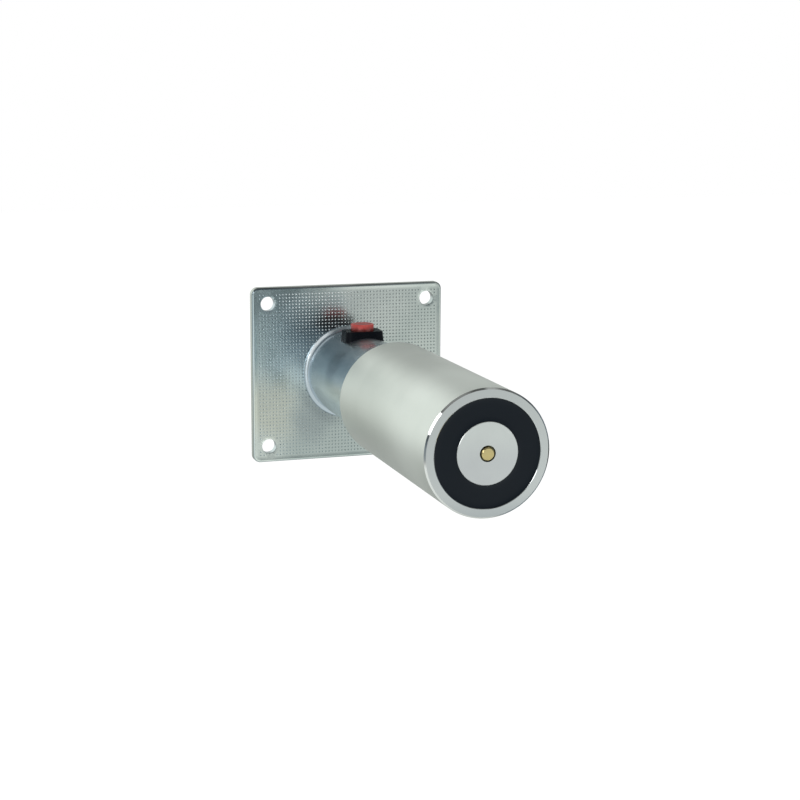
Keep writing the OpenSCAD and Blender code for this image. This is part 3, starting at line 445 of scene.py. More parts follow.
def material(name, base, metallic, roughness, **sockets):
    """A material with one principled shader, its constants set on the shader itself."""
    made = bpy.data.materials.new(name)
    made.use_nodes = True
    tree = made.node_tree
    tree.nodes.clear()
    values = {"Base Color": (*base, 1.0), "Metallic": metallic, "Roughness": roughness}
    values.update({key.replace("_", " "): value for key, value in sockets.items()})
    shader = add(tree, "ShaderNodeBsdfPrincipled", values)
    add(tree, "ShaderNodeOutputMaterial", {"Surface": shader.outputs[0]})
    return made, tree, shader


def feed(tree, shader, **named):
    """Links sockets to the shader's inputs of these names."""
    for key, value in named.items():
        tree.links.new(value, shader.inputs[key.replace("_", " ")])


def bumped(tree, shader, height, strength, distance_mm):
    """Feeds a height into the shader's normal and returns that normal."""
    reach = distance_mm / 1000.0
    bump = add(tree, "ShaderNodeBump", {"Strength": strength, "Distance": reach, "Height": height})
    feed(tree, shader, Normal=bump.outputs["Normal"])
    return bump.outputs["Normal"]


def surface(tree, shader, tone, matt, height, strength, distance_mm):
    """Gives the shader its colour, its roughness and a height as bumps. Returns the bumped normal."""
    feed(tree, shader, Base_Color=tone, Roughness=matt)
    return bumped(tree, shader, height, strength, distance_mm)


def plus(tree, value, gain, start):
    """A number times a gain, added to a start."""
    return math(tree, "MULTIPLY_ADD", value, gain, start)


def here(tree):
    """The place on the piece, in metres, which moves with it."""
    return add(tree, "ShaderNodeTexCoord").outputs["Object"]


def split(tree, value):
    """The three parts of a vector."""
    return tuple(add(tree, "ShaderNodeSeparateXYZ", {0: value}).outputs)


def off_axis(tree, spot):
    """Distance of a place from the axis of the tube."""
    return vector(tree, "LENGTH", vector(tree, "MULTIPLY", spot, (1.0, 0.0, 1.0)))


def noise(tree, where, scale, output="Fac", **named):
    """Noise over these coordinates."""
    return add(tree, "ShaderNodeTexNoise", {"Vector": where, "Scale": scale, **named}).outputs[output]


def stain_or_shade(tree, tone, where, layers):
    """Lays patches of colour on a tone, one after another, which hold stains as well as painted light and
    shade. Each has its middle, the distances within which it is full and beyond which it is gone, its
    strength and its colour."""
    for middle, full, gone, strength, colour in layers:
        away = vector(tree, "DISTANCE", where, middle)
        tone = mixed(tree, ramp(tree, away, full, gone, strength, 0.0), tone, colour)
    return tone


# Zinc bloom: broad clouds where the plating is thinner, and a fine crystalline grain over them.
bloom, given, close = effect("zinc_bloom", ["Clouds", "Grain"], Size=1.0)
wide = vector(bloom, "SCALE", here(bloom), Scale=given["Size"])
clouds = noise(bloom, wide, 38.0, Detail=5.0, Roughness=0.6)
close(Clouds=ramp(bloom, clouds, 0.32, 0.70), Grain=noise(bloom, wide, 900.0, Detail=3.0, Roughness=0.7))

# Handling marks: short fine scratches in two directions and faint smears.
marks, given, close = effect("handling_marks", ["Scratches", "Smears"], Amount=1.0)
spot = here(marks)


def scratches(turn, stretch, low, high):
    """Noise drawn out along one direction, of which only the peaks are left."""
    drawn_out = add(marks, "ShaderNodeMapping", {"Vector": spot, "Rotation": turn, "Scale": stretch})
    return ramp(marks, noise(marks, drawn_out.outputs[0], 1.0, Detail=2.0), low, high)


lines_a = scratches((0.4, 0.9, 0.3), (60.0, 1500.0, 1500.0), 0.66, 0.74)
lines_b = scratches((1.1, -0.5, 0.8), (1700.0, 70.0, 1700.0), 0.67, 0.75)
smears = ramp(marks, noise(marks, spot, 70.0, Detail=3.0, Distortion=0.8), 0.45, 0.75)
close(
    Scratches=times(marks, math(marks, "MAXIMUM", lines_a, lines_b), given["Amount"]),
    Smears=times(marks, smears, given["Amount"]),
)

# Plated sheet. The place is drifted by slow noise, 15 mm on average along each axis, and the middles of the
# patches take that in. Patches: painted bluish light high on the left, painted light high on the right, a
# painted dark reflection of the tube left of the button, painted shade low in the middle, a straw stain low
# on the left and painted shade by the bead.
DRIFT = (0.03, 0.03, 0.03)
SHEET_LIGHT_SHADE_AND_STAIN = [
    ((-0.028, 0.010, 0.040), 0.012, 0.054, 0.90, (0.69, 0.82, 0.88)),
    ((0.027, 0.010, 0.062), 0.010, 0.036, 0.60, (0.92, 0.95, 0.92)),
    ((-0.004, 0.010, 0.038), 0.004, 0.024, 0.60, (0.30, 0.37, 0.41)),
    ((0.003, 0.010, -0.025), 0.012, 0.042, 0.70, (0.50, 0.57, 0.56)),
    ((-0.031, 0.010, 0.001), 0.006, 0.026, 0.65, (0.80, 0.80, 0.68)),
    ((-0.004, 0.010, -0.008), 0.004, 0.017, 0.55, (0.40, 0.45, 0.46)),
]
zinc, tree, shader = material("zinc_plated_sheet", (0.65, 0.71, 0.685), 1.0, 0.20)
patchy = use(tree, bloom)
worn = use(tree, marks, Amount=0.20)
spot = here(tree)
x, y, z = split(tree, spot)
drift = noise(tree, spot, 24.0, "Color", Detail=2.0, Distortion=0.6)
drifted = vector(tree, "MULTIPLY_ADD", drift, DRIFT, spot)
tone = mixed(tree, patchy["Clouds"], (0.70, 0.765, 0.735), (0.79, 0.840, 0.800))
tone = stain_or_shade(tree, tone, drifted, SHEET_LIGHT_SHADE_AND_STAIN)
# Painted shade in a ring round the tube, low on the left.
shade_low_left = ramp(tree, math(tree, "MAXIMUM", x, z), -0.016, 0.004, 0.65, 0.0)
by_tube = ramp(tree, off_axis(tree, spot), 0.0275, 0.0340, 1.0, 0.0)
tone = mixed(tree, times(tree, shade_low_left, by_tube), tone, (0.34, 0.39, 0.40))


def past(tree, value, limit):
    """How far a number lies beyond a limit on either side."""
    return math(tree, "MAXIMUM", math(tree, "SUBTRACT", math(tree, "ABSOLUTE", value), limit), 0.0)


# The edge: outward is the distance from the straight part of the outline, with the corners taken in. The
# roll at the front is burnished, and the sheared side behind it is dull.
past_x = past(tree, x, (PLATE_W / 2.0 - CORNER_R) / 1000.0)
past_z = past(tree, z, (PLATE_H / 2.0 - CORNER_R) / 1000.0)
squares = math(tree, "ADD", times(tree, past_x, past_x), times(tree, past_z, past_z))
outward = math(tree, "SQRT", squares)
rolled = ramp(tree, outward, 0.0027, 0.0031)
sheared = times(tree, ramp(tree, outward, 0.0036, 0.0039), ramp(tree, y, -0.0044, -0.0038))

# The dimples are painted darker than the field as shade, least on the left. Painted shade makes them dark in
# the upper left corner, and a painted highlight makes them shine where they face the lamp, above the button.
DIMPLE_SHADE_AND_HIGHLIGHT = [
    ((-0.034, 0.010, 0.052), 0.010, 0.028, 0.8, (0.16, 0.20, 0.23)),
    ((-0.002, 0.010, 0.055), 0.010, 0.028, 1.0, (0.99, 0.99, 0.99)),
]
pressed = ramp(tree, y, -0.004915, -0.00485)
to_right = ramp(tree, split(tree, drifted)[0], -0.012, 0.016)
painted_dimple_shade = stain_or_shade(tree, mixed(tree, to_right, (0.34, 0.40, 0.43), (0.20, 0.24, 0.25)), drifted, DIMPLE_SHADE_AND_HIGHLIGHT)
tone = mixed(tree, times(tree, pressed, 0.68), tone, painted_dimple_shade)
tone = mixed(tree, sheared, tone, (0.38, 0.41, 0.37))
matt = plus(tree, worn["Smears"], 0.25, plus(tree, patchy["Clouds"], 0.07, 0.17))
matt = plus(tree, worn["Scratches"], 0.50, matt)
matt = times(tree, matt, plus(tree, rolled, -0.60, 1.0))
tone = mixed(tree, worn["Scratches"], tone, (0.84, 0.86, 0.86))
surface(tree, shader, tone, plus(tree, sheared, 0.16, matt), patchy["Grain"], 0.03, 0.04)
plate.data.materials.append(zinc)


# Weld bead. A fine bright ring where the tube is welded to the plate. It swells slightly in five places
# and is finely rippled all round, but its foot stays where it meets the plate and the tube.
TUBE_R, BEAD_R, BEAD_SEGMENTS = 24.0, 2.2, 240
SWELL, LOW_BY, RIPPLE = 0.05, 0.05, 0.004


def capped(count, sides):
    """Faces of a run of rings that closes on two more points, which come after the rings."""
    last, tip = (count - 1) * sides, count * sides
    quads = np.concatenate([strip(k * sides, (k + 1) * sides, sides) for k in range(count - 1)])
    start = np.column_stack([loop_edges(0, sides)[:, ::-1], np.full(sides, tip)])
    end = np.column_stack([loop_edges(last, sides), np.full(sides, tip + 1)])
    return [quads, start, end]


def revolved(profile, segments, closed):
    """Turns a profile of (distance from the wall, radius) about the tube axis. A closed profile gives a
    ring, an open one starts and ends on the axis. Returns points and faces."""
    turn = np.linspace(0.0, 2.0 * np.pi, segments, endpoint=False)
    profile = np.asarray(profile, dtype=float)
    on_axis = [] if closed else [0, len(profile) - 1]
    body = profile if closed else profile[1:-1]
    d, r = body[:, 0:1], body[:, 1:2]
    grid = np.stack([r * np.cos(turn), -d + 0.0 * turn, r * np.sin(turn)], 2).reshape(-1, 3)
    count = len(body)
    if closed:
        return grid, [strip(k * segments, (k + 1) % count * segments, segments) for k in range(count)]
    tips = np.array([[0.0, -profile[i, 0], 0.0] for i in on_axis])
    return np.concatenate([grid, tips]), capped(count, segments)


bead_profile = [(field, TUBE_R + BEAD_R)]
bead_profile += [(PLATE_T + BEAD_R * np.sin(t), TUBE_R + BEAD_R * np.cos(t)) for t in quarter(9)]
bead_profile.append((field, TUBE_R))
bead_points, bead_faces = revolved(bead_profile, BEAD_SEGMENTS, True)
bead_x, bead_y, bead_z = bead_points.T
around = np.arctan2(bead_z, bead_x)
ring_r = np.hypot(bead_x, bead_z)
off_foot = (ring_r > TUBE_R + 0.01) & (bead_y < -PLATE_T - 0.01)
ripple = RIPPLE * np.sin(74.0 * around + 0.6 * np.sin(9.0 * around)) + SWELL * np.sin(5.0 * around + 1.0)
swell = 1.0 + np.where(off_foot, ripple - LOW_BY, 0.0) / BEAD_R
new_r = TUBE_R + (ring_r - TUBE_R) * swell
new_y = -PLATE_T + (bead_y + PLATE_T) * swell
bead_points = np.column_stack([bead_x * new_r / ring_r, new_y, bead_z * new_r / ring_r])
bead = mesh_piece("weld_bead_rippled", bead_points, bead_faces, "magnet")
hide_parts("weld_bead")

# Zinc on the weld. A painted highlight makes the crest pale and matt from the left to the top, and painted
# shade makes the lower half darker.
weld, tree, shader = material("zinc_over_weld", (0.80, 0.83, 0.85), 1.0, 0.26)
patchy = use(tree, bloom, Size=2.0)
spot = here(tree)
out = off_axis(tree, spot)
crest = times(tree, ramp(tree, out, 0.0256, 0.0261, 1.0, 0.0), ramp(tree, out, 0.0242, 0.0248))
# Painted highlight on the crest from the left to the top, and painted shade on the lower half.
away = vector(tree, "DISTANCE", spot, (-0.019, -0.006, 0.018))
crest_highlight = times(tree, ramp(tree, away, 0.005, 0.013, 0.97, 0.0), crest)
shade_lower_half = ramp(tree, split(tree, spot)[2], -0.002, 0.012, 0.85, 0.0)
tone = mixed(tree, patchy["Clouds"], (0.80, 0.89, 0.97), (0.88, 0.95, 1.0))
tone = mixed(tree, shade_lower_half, tone, (0.50, 0.57, 0.63))
tone = mixed(tree, crest_highlight, tone, (0.90, 0.97, 1.0))
feed(tree, shader, Metallic=rest(tree, crest_highlight))
surface(tree, shader, tone, plus(tree, patchy["Clouds"], 0.04, 0.22), patchy["Grain"], 0.03, 0.03)
bead.data.materials.append(weld)


# Spacer tube. Drawn steel tube that holds the magnet off the wall, zinc plated like the plate. Long faint
# draw lines run along it.
def dress(made, *names):
    """Gives CAD nodes this material."""
    for name in names:
        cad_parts[name].material_slots[0].material = made


# The plating is greyer round the button, where hands touch it. Painted shade darkens it on the upper left,
# as a reflection of the bezel, and beside the weld, most on top. Towards the housing a painted highlight
# brightens its left side.
# Painted dark reflection of the bezel on the upper left of the tube.
BEZEL_SHADE_ON_TUBE = ((-0.020, -0.048, 0.0135), 0.003, 0.015, 0.9, (0.42, 0.48, 0.52))
tube_zinc, tree, shader = material("zinc_plated_tube", (0.70, 0.76, 0.79), 1.0, 0.21)
patchy = use(tree, bloom, Size=0.7)
worn = use(tree, marks, Amount=0.06)
spot = here(tree)
drawn_out = add(tree, "ShaderNodeMapping", {"Vector": spot, "Scale": (700.0, 7.0, 700.0)}).outputs[0]
lines = noise(tree, drawn_out, 1.0, Detail=3.0, Roughness=0.6)
x, y, z = split(tree, spot)
handled = ramp(tree, vector(tree, "DISTANCE", spot, (0.002, -0.046, 0.024)), 0.006, 0.022, 1.0, 0.0)
tone = mixed(tree, patchy["Clouds"], (0.62, 0.71, 0.765), (0.70, 0.785, 0.83))
tone = mixed(tree, times(tree, handled, 0.5), tone, (0.68, 0.70, 0.69))
tone = stain_or_shade(tree, tone, spot, [BEZEL_SHADE_ON_TUBE])
# Painted shade beside the weld, strongest on top.
shade_by_weld = times(tree, ramp(tree, y, -0.0125, -0.0085), ramp(tree, z, 0.000, 0.014, 0.5, 0.9))
tone = mixed(tree, shade_by_weld, tone, (0.22, 0.27, 0.31))
# Painted highlight along the side towards the housing.
painted_highlight_band = times(tree, ramp(tree, y, -0.066, -0.046, 0.8, 0.0), ramp(tree, z, 0.0045, 0.0110, 1.0, 0.0))
painted_highlight_band = times(tree, painted_highlight_band, ramp(tree, z, -0.002, 0.003))
tone = mixed(tree, painted_highlight_band, tone, (0.93, 0.97, 0.97))
matt = plus(tree, handled, 0.16, plus(tree, lines, 0.05, 0.150))
tone = mixed(tree, worn["Scratches"], tone, (0.80, 0.83, 0.84))
surface(tree, shader, tone, plus(tree, worn["Smears"], 0.50, matt), lines, 0.02, 0.02)
dress(tube_zinc, "spacer_tube")

# Bezel. Black moulded housing of the push-button: a drafted oblong body on a saddle foot that hugs the
# tube, a round recess for the cap, and the threaded neck that goes through the tube wall.
BUTTON_D, BEZEL_W, BEZEL_H, BEZEL_R, DRAFT = 32.0, 22.4, 15.8, 4.5, 0.8
BEZEL_TOP, BEZEL_EDGE, RECESS_R, RECESS_DEEP, LIP_R = 27.5, 0.5, 6.5, 2.8, 0.22
NECK_R, NECK_END, NECK_TOP, SPIGOT_R, SPIGOT_END, STEM_BORE_R = 5.5, 13.0, 19.0, 4.8, 11.5, 3.53
FOOT_Z = np.sqrt(TUBE_R ** 2 - BEZEL_W ** 2 / 4.0) - 2.0
ROUND = 144
rays = np.linspace(0.0, 2.0 * np.pi, ROUND, endpoint=False) + 0.0001


def oblong(inset):
    """The bezel outline drawn in by inset, one point for each of 144 equal turns about its middle: the first
    crossing of the ray with the straight sides, or with the corner arc beyond them."""
    c, s = np.abs(np.cos(rays)), np.abs(np.sin(rays))
    hw, hh, r = BEZEL_W / 2.0 - inset, BEZEL_H / 2.0 - inset, BEZEL_R - inset
    flat_reach = np.minimum(hw / np.maximum(c, 1e-9), hh / np.maximum(s, 1e-9))
    mid = c * (hw - r) + s * (hh - r)
    arc_reach = mid + np.sqrt(np.maximum(mid ** 2 - ((hw - r) ** 2 + (hh - r) ** 2 - r ** 2), 0.0))
    in_corner = (flat_reach * c > hw - r) & (flat_reach * s > hh - r)
    reach = np.where(in_corner, arc_reach, flat_reach)
    return np.stack([reach * np.cos(rays), reach * np.sin(rays)], 1)


def ring_at(radius, height):
    """A level ring about the button axis."""
    return np.column_stack([radius * np.cos(rays), radius * np.sin(rays), np.full(ROUND, float(height))])


def on_tube(flat):
    """Points of an outline dropped on the tube's surface."""
    return np.column_stack([flat, np.sqrt(TUBE_R ** 2 - flat[:, 0] ** 2)])


wall_top = BEZEL_TOP - BEZEL_EDGE
foot_loop = on_tube(oblong(DRAFT * 0.3))
loops = [foot_loop]
for share in (0.06, 0.3, 0.6, 0.9, 1.0):
    height = foot_loop[:, 2] + (wall_top - foot_loop[:, 2]) * share
    inset = DRAFT * (height - FOOT_Z) / (wall_top - FOOT_Z)
    wide_loop, narrow_loop = oblong(0.0), oblong(DRAFT)
    flat_loop = wide_loop + (narrow_loop - wide_loop) * (inset / DRAFT)[:, None]
    loops.append(np.column_stack([flat_loop, height]))
for t in np.radians(np.linspace(15.0, 90.0, 6)):
    flat_loop = oblong(DRAFT + BEZEL_EDGE * (1.0 - np.cos(t)))
    loops.append(np.column_stack([flat_loop, np.full(ROUND, wall_top + BEZEL_EDGE * np.sin(t))]))
top_loop = loops[-1]
lip = ring_at(RECESS_R + LIP_R, BEZEL_TOP)
loops += [top_loop + (lip - top_loop) * share for share in (0.15, 0.85)] + [lip]
for t in np.radians([30.0, 60.0, 90.0]):
    loops.append(ring_at(RECESS_R + LIP_R * (1.0 - np.sin(t)), BEZEL_TOP - LIP_R * (1.0 - np.cos(t))))

# The rest of the section as radius and height: the recess, the stem's bore, the spigot and the neck.
floor_z = BEZEL_TOP - RECESS_DEEP
for radius, height in [
    (RECESS_R, floor_z + 0.3),
    (RECESS_R - 0.1, floor_z + 0.08),
    (RECESS_R - 0.3, floor_z),
    (STEM_BORE_R + 0.2, floor_z),
    (STEM_BORE_R, floor_z - 0.2),
    (STEM_BORE_R, SPIGOT_END),
    (SPIGOT_R, SPIGOT_END),
    (SPIGOT_R, NECK_END),
    (NECK_R, NECK_END),
    (NECK_R, NECK_TOP),
]:
    loops.append(ring_at(radius, height))
neck_loop = on_tube(ring_at(NECK_R, 0.0)[:, :2])
loops += [neck_loop, on_tube((neck_loop + (foot_loop - neck_loop) * 0.5)[:, :2])]
bezel_points = np.concatenate(loops)
bezel_points[:, 1] -= BUTTON_D
count = len(loops)
bezel_faces = [strip(k * ROUND, ((k + 1) % count) * ROUND, ROUND) for k in range(count)]
bezel = mesh_piece("bezel_moulded", bezel_points, bezel_faces, "magnet")
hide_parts("button_bezel")

# Moulded skin: a fine spark-eroded grain, slight sink and a dusty bloom, shared by the plastic pieces.
skin, given, close = effect("moulded_skin", ["Grain", "Bloom"], Grain_Size=1.0)
scaled = vector(skin, "SCALE", here(skin), Scale=given["Grain_Size"])
pits = add(skin, "ShaderNodeTexVoronoi", {"Vector": scaled, "Scale": 3200.0}, feature="SMOOTH_F1")
dusty = ramp(skin, noise(skin, scaled, 210.0, Detail=4.0), 0.4, 0.7)
close(Grain=pits.outputs["Distance"], Bloom=dusty)

black, tree, shader = material("bezel_black", (0.0075, 0.0085, 0.0115), 0.0, 0.30, Specular_IOR_Level=0.07)
moulded = use(tree, skin)
worn = use(tree, marks, Amount=0.30)
dust = times(tree, moulded["Bloom"], 0.35)
tone = mixed(tree, dust, (0.0050, 0.0062, 0.0092), (0.010, 0.0115, 0.015))
tone = mixed(tree, worn["Scratches"], tone, (0.06, 0.06, 0.065))
surface(tree, shader, tone, plus(tree, moulded["Bloom"], 0.12, 0.26), moulded["Grain"], 0.10, 0.03)
bezel.data.materials.append(black)

# Red button. A turned-looking moulded cap with a soft rim and a slightly dished top. Painted shade and grime
# darken it low on its side, where it sits in the recess, and painted shade makes the dished top darker than
# the rim.
CAP_R, CAP_TOP, CAP_T, CAP_EDGE, TIP_R, TIP_TOP = 6.25, 31.1, 4.0, 0.6, 2.0, 29.5
cap_base = CAP_TOP - CAP_T
profile = [(TIP_TOP, 0.0), (TIP_TOP, TIP_R), (cap_base, TIP_R), (cap_base, CAP_R - 0.3)]
profile += [(cap_base + 0.09, CAP_R - 0.09), (cap_base + 0.3, CAP_R)]
for t in quarter(8):
    profile.append((CAP_TOP - CAP_EDGE + CAP_EDGE * np.sin(t), CAP_R - CAP_EDGE * (1.0 - np.cos(t))))
profile += [(CAP_TOP - 0.02, CAP_R - 1.3), (CAP_TOP - 0.10, CAP_R - 2.6)]
profile += [(CAP_TOP - 0.14, 1.8), (CAP_TOP - 0.15, 0.0)]
cap_points, cap_faces = revolved([(-z, r) for z, r in profile], ROUND, False)
cap_points = np.column_stack([cap_points[:, 0], cap_points[:, 2] - BUTTON_D, cap_points[:, 1]])
cap = mesh_piece("button_cap", cap_points, cap_faces, "button")
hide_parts("red_button")

COAT = {"Coat_Weight": 0.30, "Coat_Roughness": 0.16}
red, tree, shader = material("button_red", (0.50, 0.075, 0.055), 0.0, 0.36, Specular_IOR_Level=0.32, **COAT)
moulded = use(tree, skin)
worn = use(tree, marks, Amount=0.35)
spot = here(tree)
tone = mixed(tree, moulded["Bloom"], (0.56, 0.066, 0.056), (0.72, 0.115, 0.100))
# Painted shade, mottled like grime, darkens the side low down in the recess.
level = math(tree, "ADD", split(tree, spot)[2], 0.0015)
grime_and_shade_level = plus(tree, noise(tree, spot, 700.0, Detail=3.0, Roughness=0.65), -0.0030, level)
tone = mixed(tree, ramp(tree, grime_and_shade_level, 0.0276, 0.0304, 0.95, 0.0), tone, (0.09, 0.014, 0.012))
# Painted shade on the dished top inside the rim.
tone = stain_or_shade(tree, tone, spot, [((0.0, -0.032, 0.0311), 0.0048, 0.0055, 0.45, (0.30, 0.030, 0.028))])
tone = mixed(tree, worn["Scratches"], tone, (0.68, 0.25, 0.20))
surface(tree, shader, tone, plus(tree, moulded["Bloom"], 0.14, 0.30), moulded["Grain"], 0.06, 0.03)
cap.data.materials.append(red)

# Magnet housing. Satin nickel on turned steel. Its long side is fine turned, the edge of the face has a
# polished chamfer, and the rim of the face is ground flat.
turnings, given, close = effect("turning_marks", ["Along", "Rings", "Radius", "Depth"], Fine=1.0)
x, y, z = split(turnings, here(turnings))
squares = math(turnings, "ADD", math(turnings, "POWER", x, 2.0), math(turnings, "POWER", z, 2.0))
radius = math(turnings, "SQRT", squares)


def tooled(value, scale):
    """Noise along one number, as a tool leaves it."""
    inputs = {"W": times(turnings, value, given["Fine"]), "Scale": scale, "Detail": 3.0, "Roughness": 0.7}
    return add(turnings, "ShaderNodeTexNoise", inputs, noise_dimensions="1D").outputs["Fac"]


close(Along=tooled(y, 5200.0), Rings=tooled(radius, 4200.0), Radius=radius, Depth=times(turnings, y, -1.0))

# Painted shade makes the nickel darker on the left towards the tube, and painted light makes it fairer
# towards the face, above and below. These patches are long, so the distance along the axis counts for less
# than half.
# Painted shade makes the ground rim darker low down.
LONG = (1.0, 0.45, 1.0)
LONG_SHADE_AND_LIGHT = [
    ((-0.0289, -0.0608, 0.003), 0.005, 0.026, 0.65, (0.50, 0.53, 0.49)),
    ((-0.0075, -0.0900, 0.0290), 0.005, 0.024, 0.75, (0.86, 0.895, 0.85)),
]
PAINTED_LIGHT_BELOW = ((-0.0285, -0.200, -0.012), 0.006, 0.026, 0.5, (0.80, 0.83, 0.79))
FACE, CHAMFER = (0.22496, 0.22499), (0.22418, 0.22422)
CHAMFER_IN, BROKEN_EDGE = (0.0285, 0.0288), (0.02562, 0.02564)
satin, tree, shader = material("satin_nickel", (0.66, 0.69, 0.65), 1.0, 0.38)
cut = use(tree, turnings)
worn = use(tree, marks, Amount=0.10)
patchy = use(tree, bloom, Size=0.5)
spot = here(tree)
face_mask = ramp(tree, cut["Depth"], *FACE)
edge_mask = math(tree, "SUBTRACT", ramp(tree, cut["Depth"], *CHAMFER), face_mask, clamp=True)
inner_mask = ramp(tree, cut["Radius"], *CHAMFER_IN, 1.0, 0.0)
edge_mask = math(tree, "MULTIPLY", edge_mask, rest(tree, inner_mask), clamp=True)
tone = mixed(tree, patchy["Clouds"], (0.640, 0.672, 0.632), (0.680, 0.708, 0.668))
tone = stain_or_shade(tree, tone, vector(tree, "MULTIPLY", spot, LONG), LONG_SHADE_AND_LIGHT)
tone = stain_or_shade(tree, tone, spot, [PAINTED_LIGHT_BELOW])
tone = mixed(tree, worn["Scratches"], tone, (0.78, 0.79, 0.77))
ground = mixed(tree, cut["Rings"], (0.60, 0.625, 0.630), (0.72, 0.74, 0.745))
# Painted shade on the ground rim low down.
low = ramp(tree, split(tree, spot)[2], -0.031, -0.016, 0.55, 0.0)
tone = mixed(tree, face_mask, tone, mixed(tree, low, ground, (0.40, 0.43, 0.46)))
tone = mixed(tree, edge_mask, tone, (0.82, 0.83, 0.82))

# The inner edge of the rim is broken by a hair's breadth: its normal leans halfway to the axis and it is
# smoother, so that it glints.
broken = times(tree, ramp(tree, cut["Radius"], *BROKEN_EDGE, 1.0, 0.0), face_mask)
not_edge = rest(tree, edge_mask)
matt = plus(tree, worn["Smears"], 0.30, plus(tree, cut["Along"], 0.08, 0.345))
matt = blended(tree, face_mask, matt, plus(tree, cut["Rings"], 0.12, 0.24))
matt = plus(tree, edge_mask, 0.07, times(tree, matt, not_edge))
matt = times(tree, matt, plus(tree, broken, -0.6, 1.0))
inward = vector(tree, "NORMALIZE", vector(tree, "MULTIPLY", spot, (-1.0, 0.0, -1.0)))
leaning = vector(tree, "ADD", inward, (0.0, -1.0, 0.0))
TO_WORLD = {"vector_type": "NORMAL", "convert_from": "OBJECT", "convert_to": "WORLD"}
leaning = add(tree, "ShaderNodeVectorTransform", {0: leaning}, **TO_WORLD).outputs[0]
fine = blended(tree, face_mask, cut["Along"], cut["Rings"])
tooled_normal = surface(tree, shader, tone, matt, times(tree, fine, not_edge), 0.12, 0.012)
mix = add(tree, "ShaderNodeMix", {"Factor": broken, 4: tooled_normal, 5: leaning}, data_type="VECTOR")
feed(tree, shader, Normal=mix.outputs[1])
dress(satin, "magnet_housing")

# Pole core. Soft iron, ground with the rim and nickel plated: fine rings round the pin. Painted light makes
# it fairer above, and the counterbore round the pin is painted dark, as shade and oil.
iron, tree, shader = material("ground_core", (0.62, 0.63, 0.66), 1.0, 0.30)
cut = use(tree, turnings)
worn = use(tree, marks, Amount=0.15)
tone = mixed(tree, cut["Rings"], (0.62, 0.635, 0.650), (0.74, 0.755, 0.765))
tone = mixed(tree, worn["Scratches"], tone, (0.75, 0.75, 0.76))
# Painted light on the upper half of the core.
high = ramp(tree, split(tree, here(tree))[2], -0.006, 0.012, 0.0, 0.7)
tone = mixed(tree, high, tone, (0.83, 0.86, 0.84))
# The counterbore is painted dark as shade and oil.
counterbore_shade = ramp(tree, cut["Depth"], 0.2246, 0.2249, 1.0, 0.0)
tone = mixed(tree, counterbore_shade, tone, (0.10, 0.095, 0.055))
matt = plus(tree, worn["Smears"], 1.0 / 3.0, plus(tree, cut["Rings"], 0.10, 0.26))
surface(tree, shader, tone, matt, cut["Rings"], 0.14, 0.012)
dress(iron, "pole_core")

# Potting ring. Black casting resin between rim and core, which seals the coil. It climbs a little at both
# walls, and its surface is uneven with a few pin holes.
COIL_R, CORE_R, POT_BACK, POT_FRONT, SAG, STEEP = 25.4, 14.6, 221.6, 224.6, 0.26, 11.0
POT_SEGMENTS, POT_STEPS = 192, 25
across = np.linspace(0.0, 1.0, POT_STEPS)
sag = SAG * (1.0 - np.exp(-across * STEEP)) * (1.0 - np.exp(-(1.0 - across) * STEEP))
pot_profile = [(POT_BACK, COIL_R), (POT_BACK, CORE_R)]
pot_profile += [(POT_FRONT - s, CORE_R + (COIL_R - CORE_R) * a) for a, s in zip(across, sag)]
pot_points, pot_faces = revolved(pot_profile, POT_SEGMENTS, True)
pot = mesh_piece("potting_cast", pot_points, pot_faces, "magnet")
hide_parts("potting_ring")
resin, tree, shader = material("potting_black", (0.004, 0.006, 0.010), 0.0, 0.36, Specular_IOR_Level=0.20)
spot = here(tree)
flow = noise(tree, spot, 120.0, Detail=4.0, Roughness=0.55)
specks = add(tree, "ShaderNodeTexVoronoi", {"Vector": spot, "Scale": 420.0})
pin_holes = ramp(tree, specks.outputs["Distance"], 0.05, 0.11, 1.0, 0.0)
tone = mixed(tree, flow, (0.0028, 0.0068, 0.0120), (0.0060, 0.0105, 0.0168))
surface(tree, shader, tone, plus(tree, flow, 0.14, 0.29), plus(tree, pin_holes, -0.6, flow), 0.20, 0.10)
pot.data.materials.append(resin)

# Ejector pin. Turned brass with a chamfered tip, dulled where it meets the armature plate. A spring holds
# it proud of the face.
brass, tree, shader = material("pin_brass_turned", (0.78, 0.64, 0.36), 1.0, 0.30)
cut = use(tree, turnings, Fine=1.4)
patchy = use(tree, bloom, Size=4.0)
tone = mixed(tree, cut["Rings"], (0.66, 0.52, 0.22), (0.79, 0.66, 0.33))
tone = mixed(tree, times(tree, patchy["Clouds"], 0.4), tone, (0.62, 0.52, 0.30))
matt = plus(tree, cut["Rings"], 0.18, 0.22)
surface(tree, shader, tone, matt, cut["Rings"], 0.25, 0.015)
dress(brass, "ejector_pin")


# Pieces inside and behind. Each has its own stuff: rubber, machined metal, moulded plastic, copper
# wire, tape, glass laminate and wire insulation. They show through the cable opening and the holes.
def plastic(name, low, high, matt, grain, *nodes):
    """Moulded plastic or rubber: two tones in soft clouds under a fine grain."""
    made, tree, shader = material(name, low, 0.0, matt)
    moulded = use(tree, skin, Grain_Size=grain)
    matt = plus(tree, moulded["Bloom"], 0.15, matt - 0.06)
    surface(tree, shader, mixed(tree, moulded["Bloom"], low, high), matt, moulded["Grain"], 0.2, 0.04)
    dress(made, *nodes)


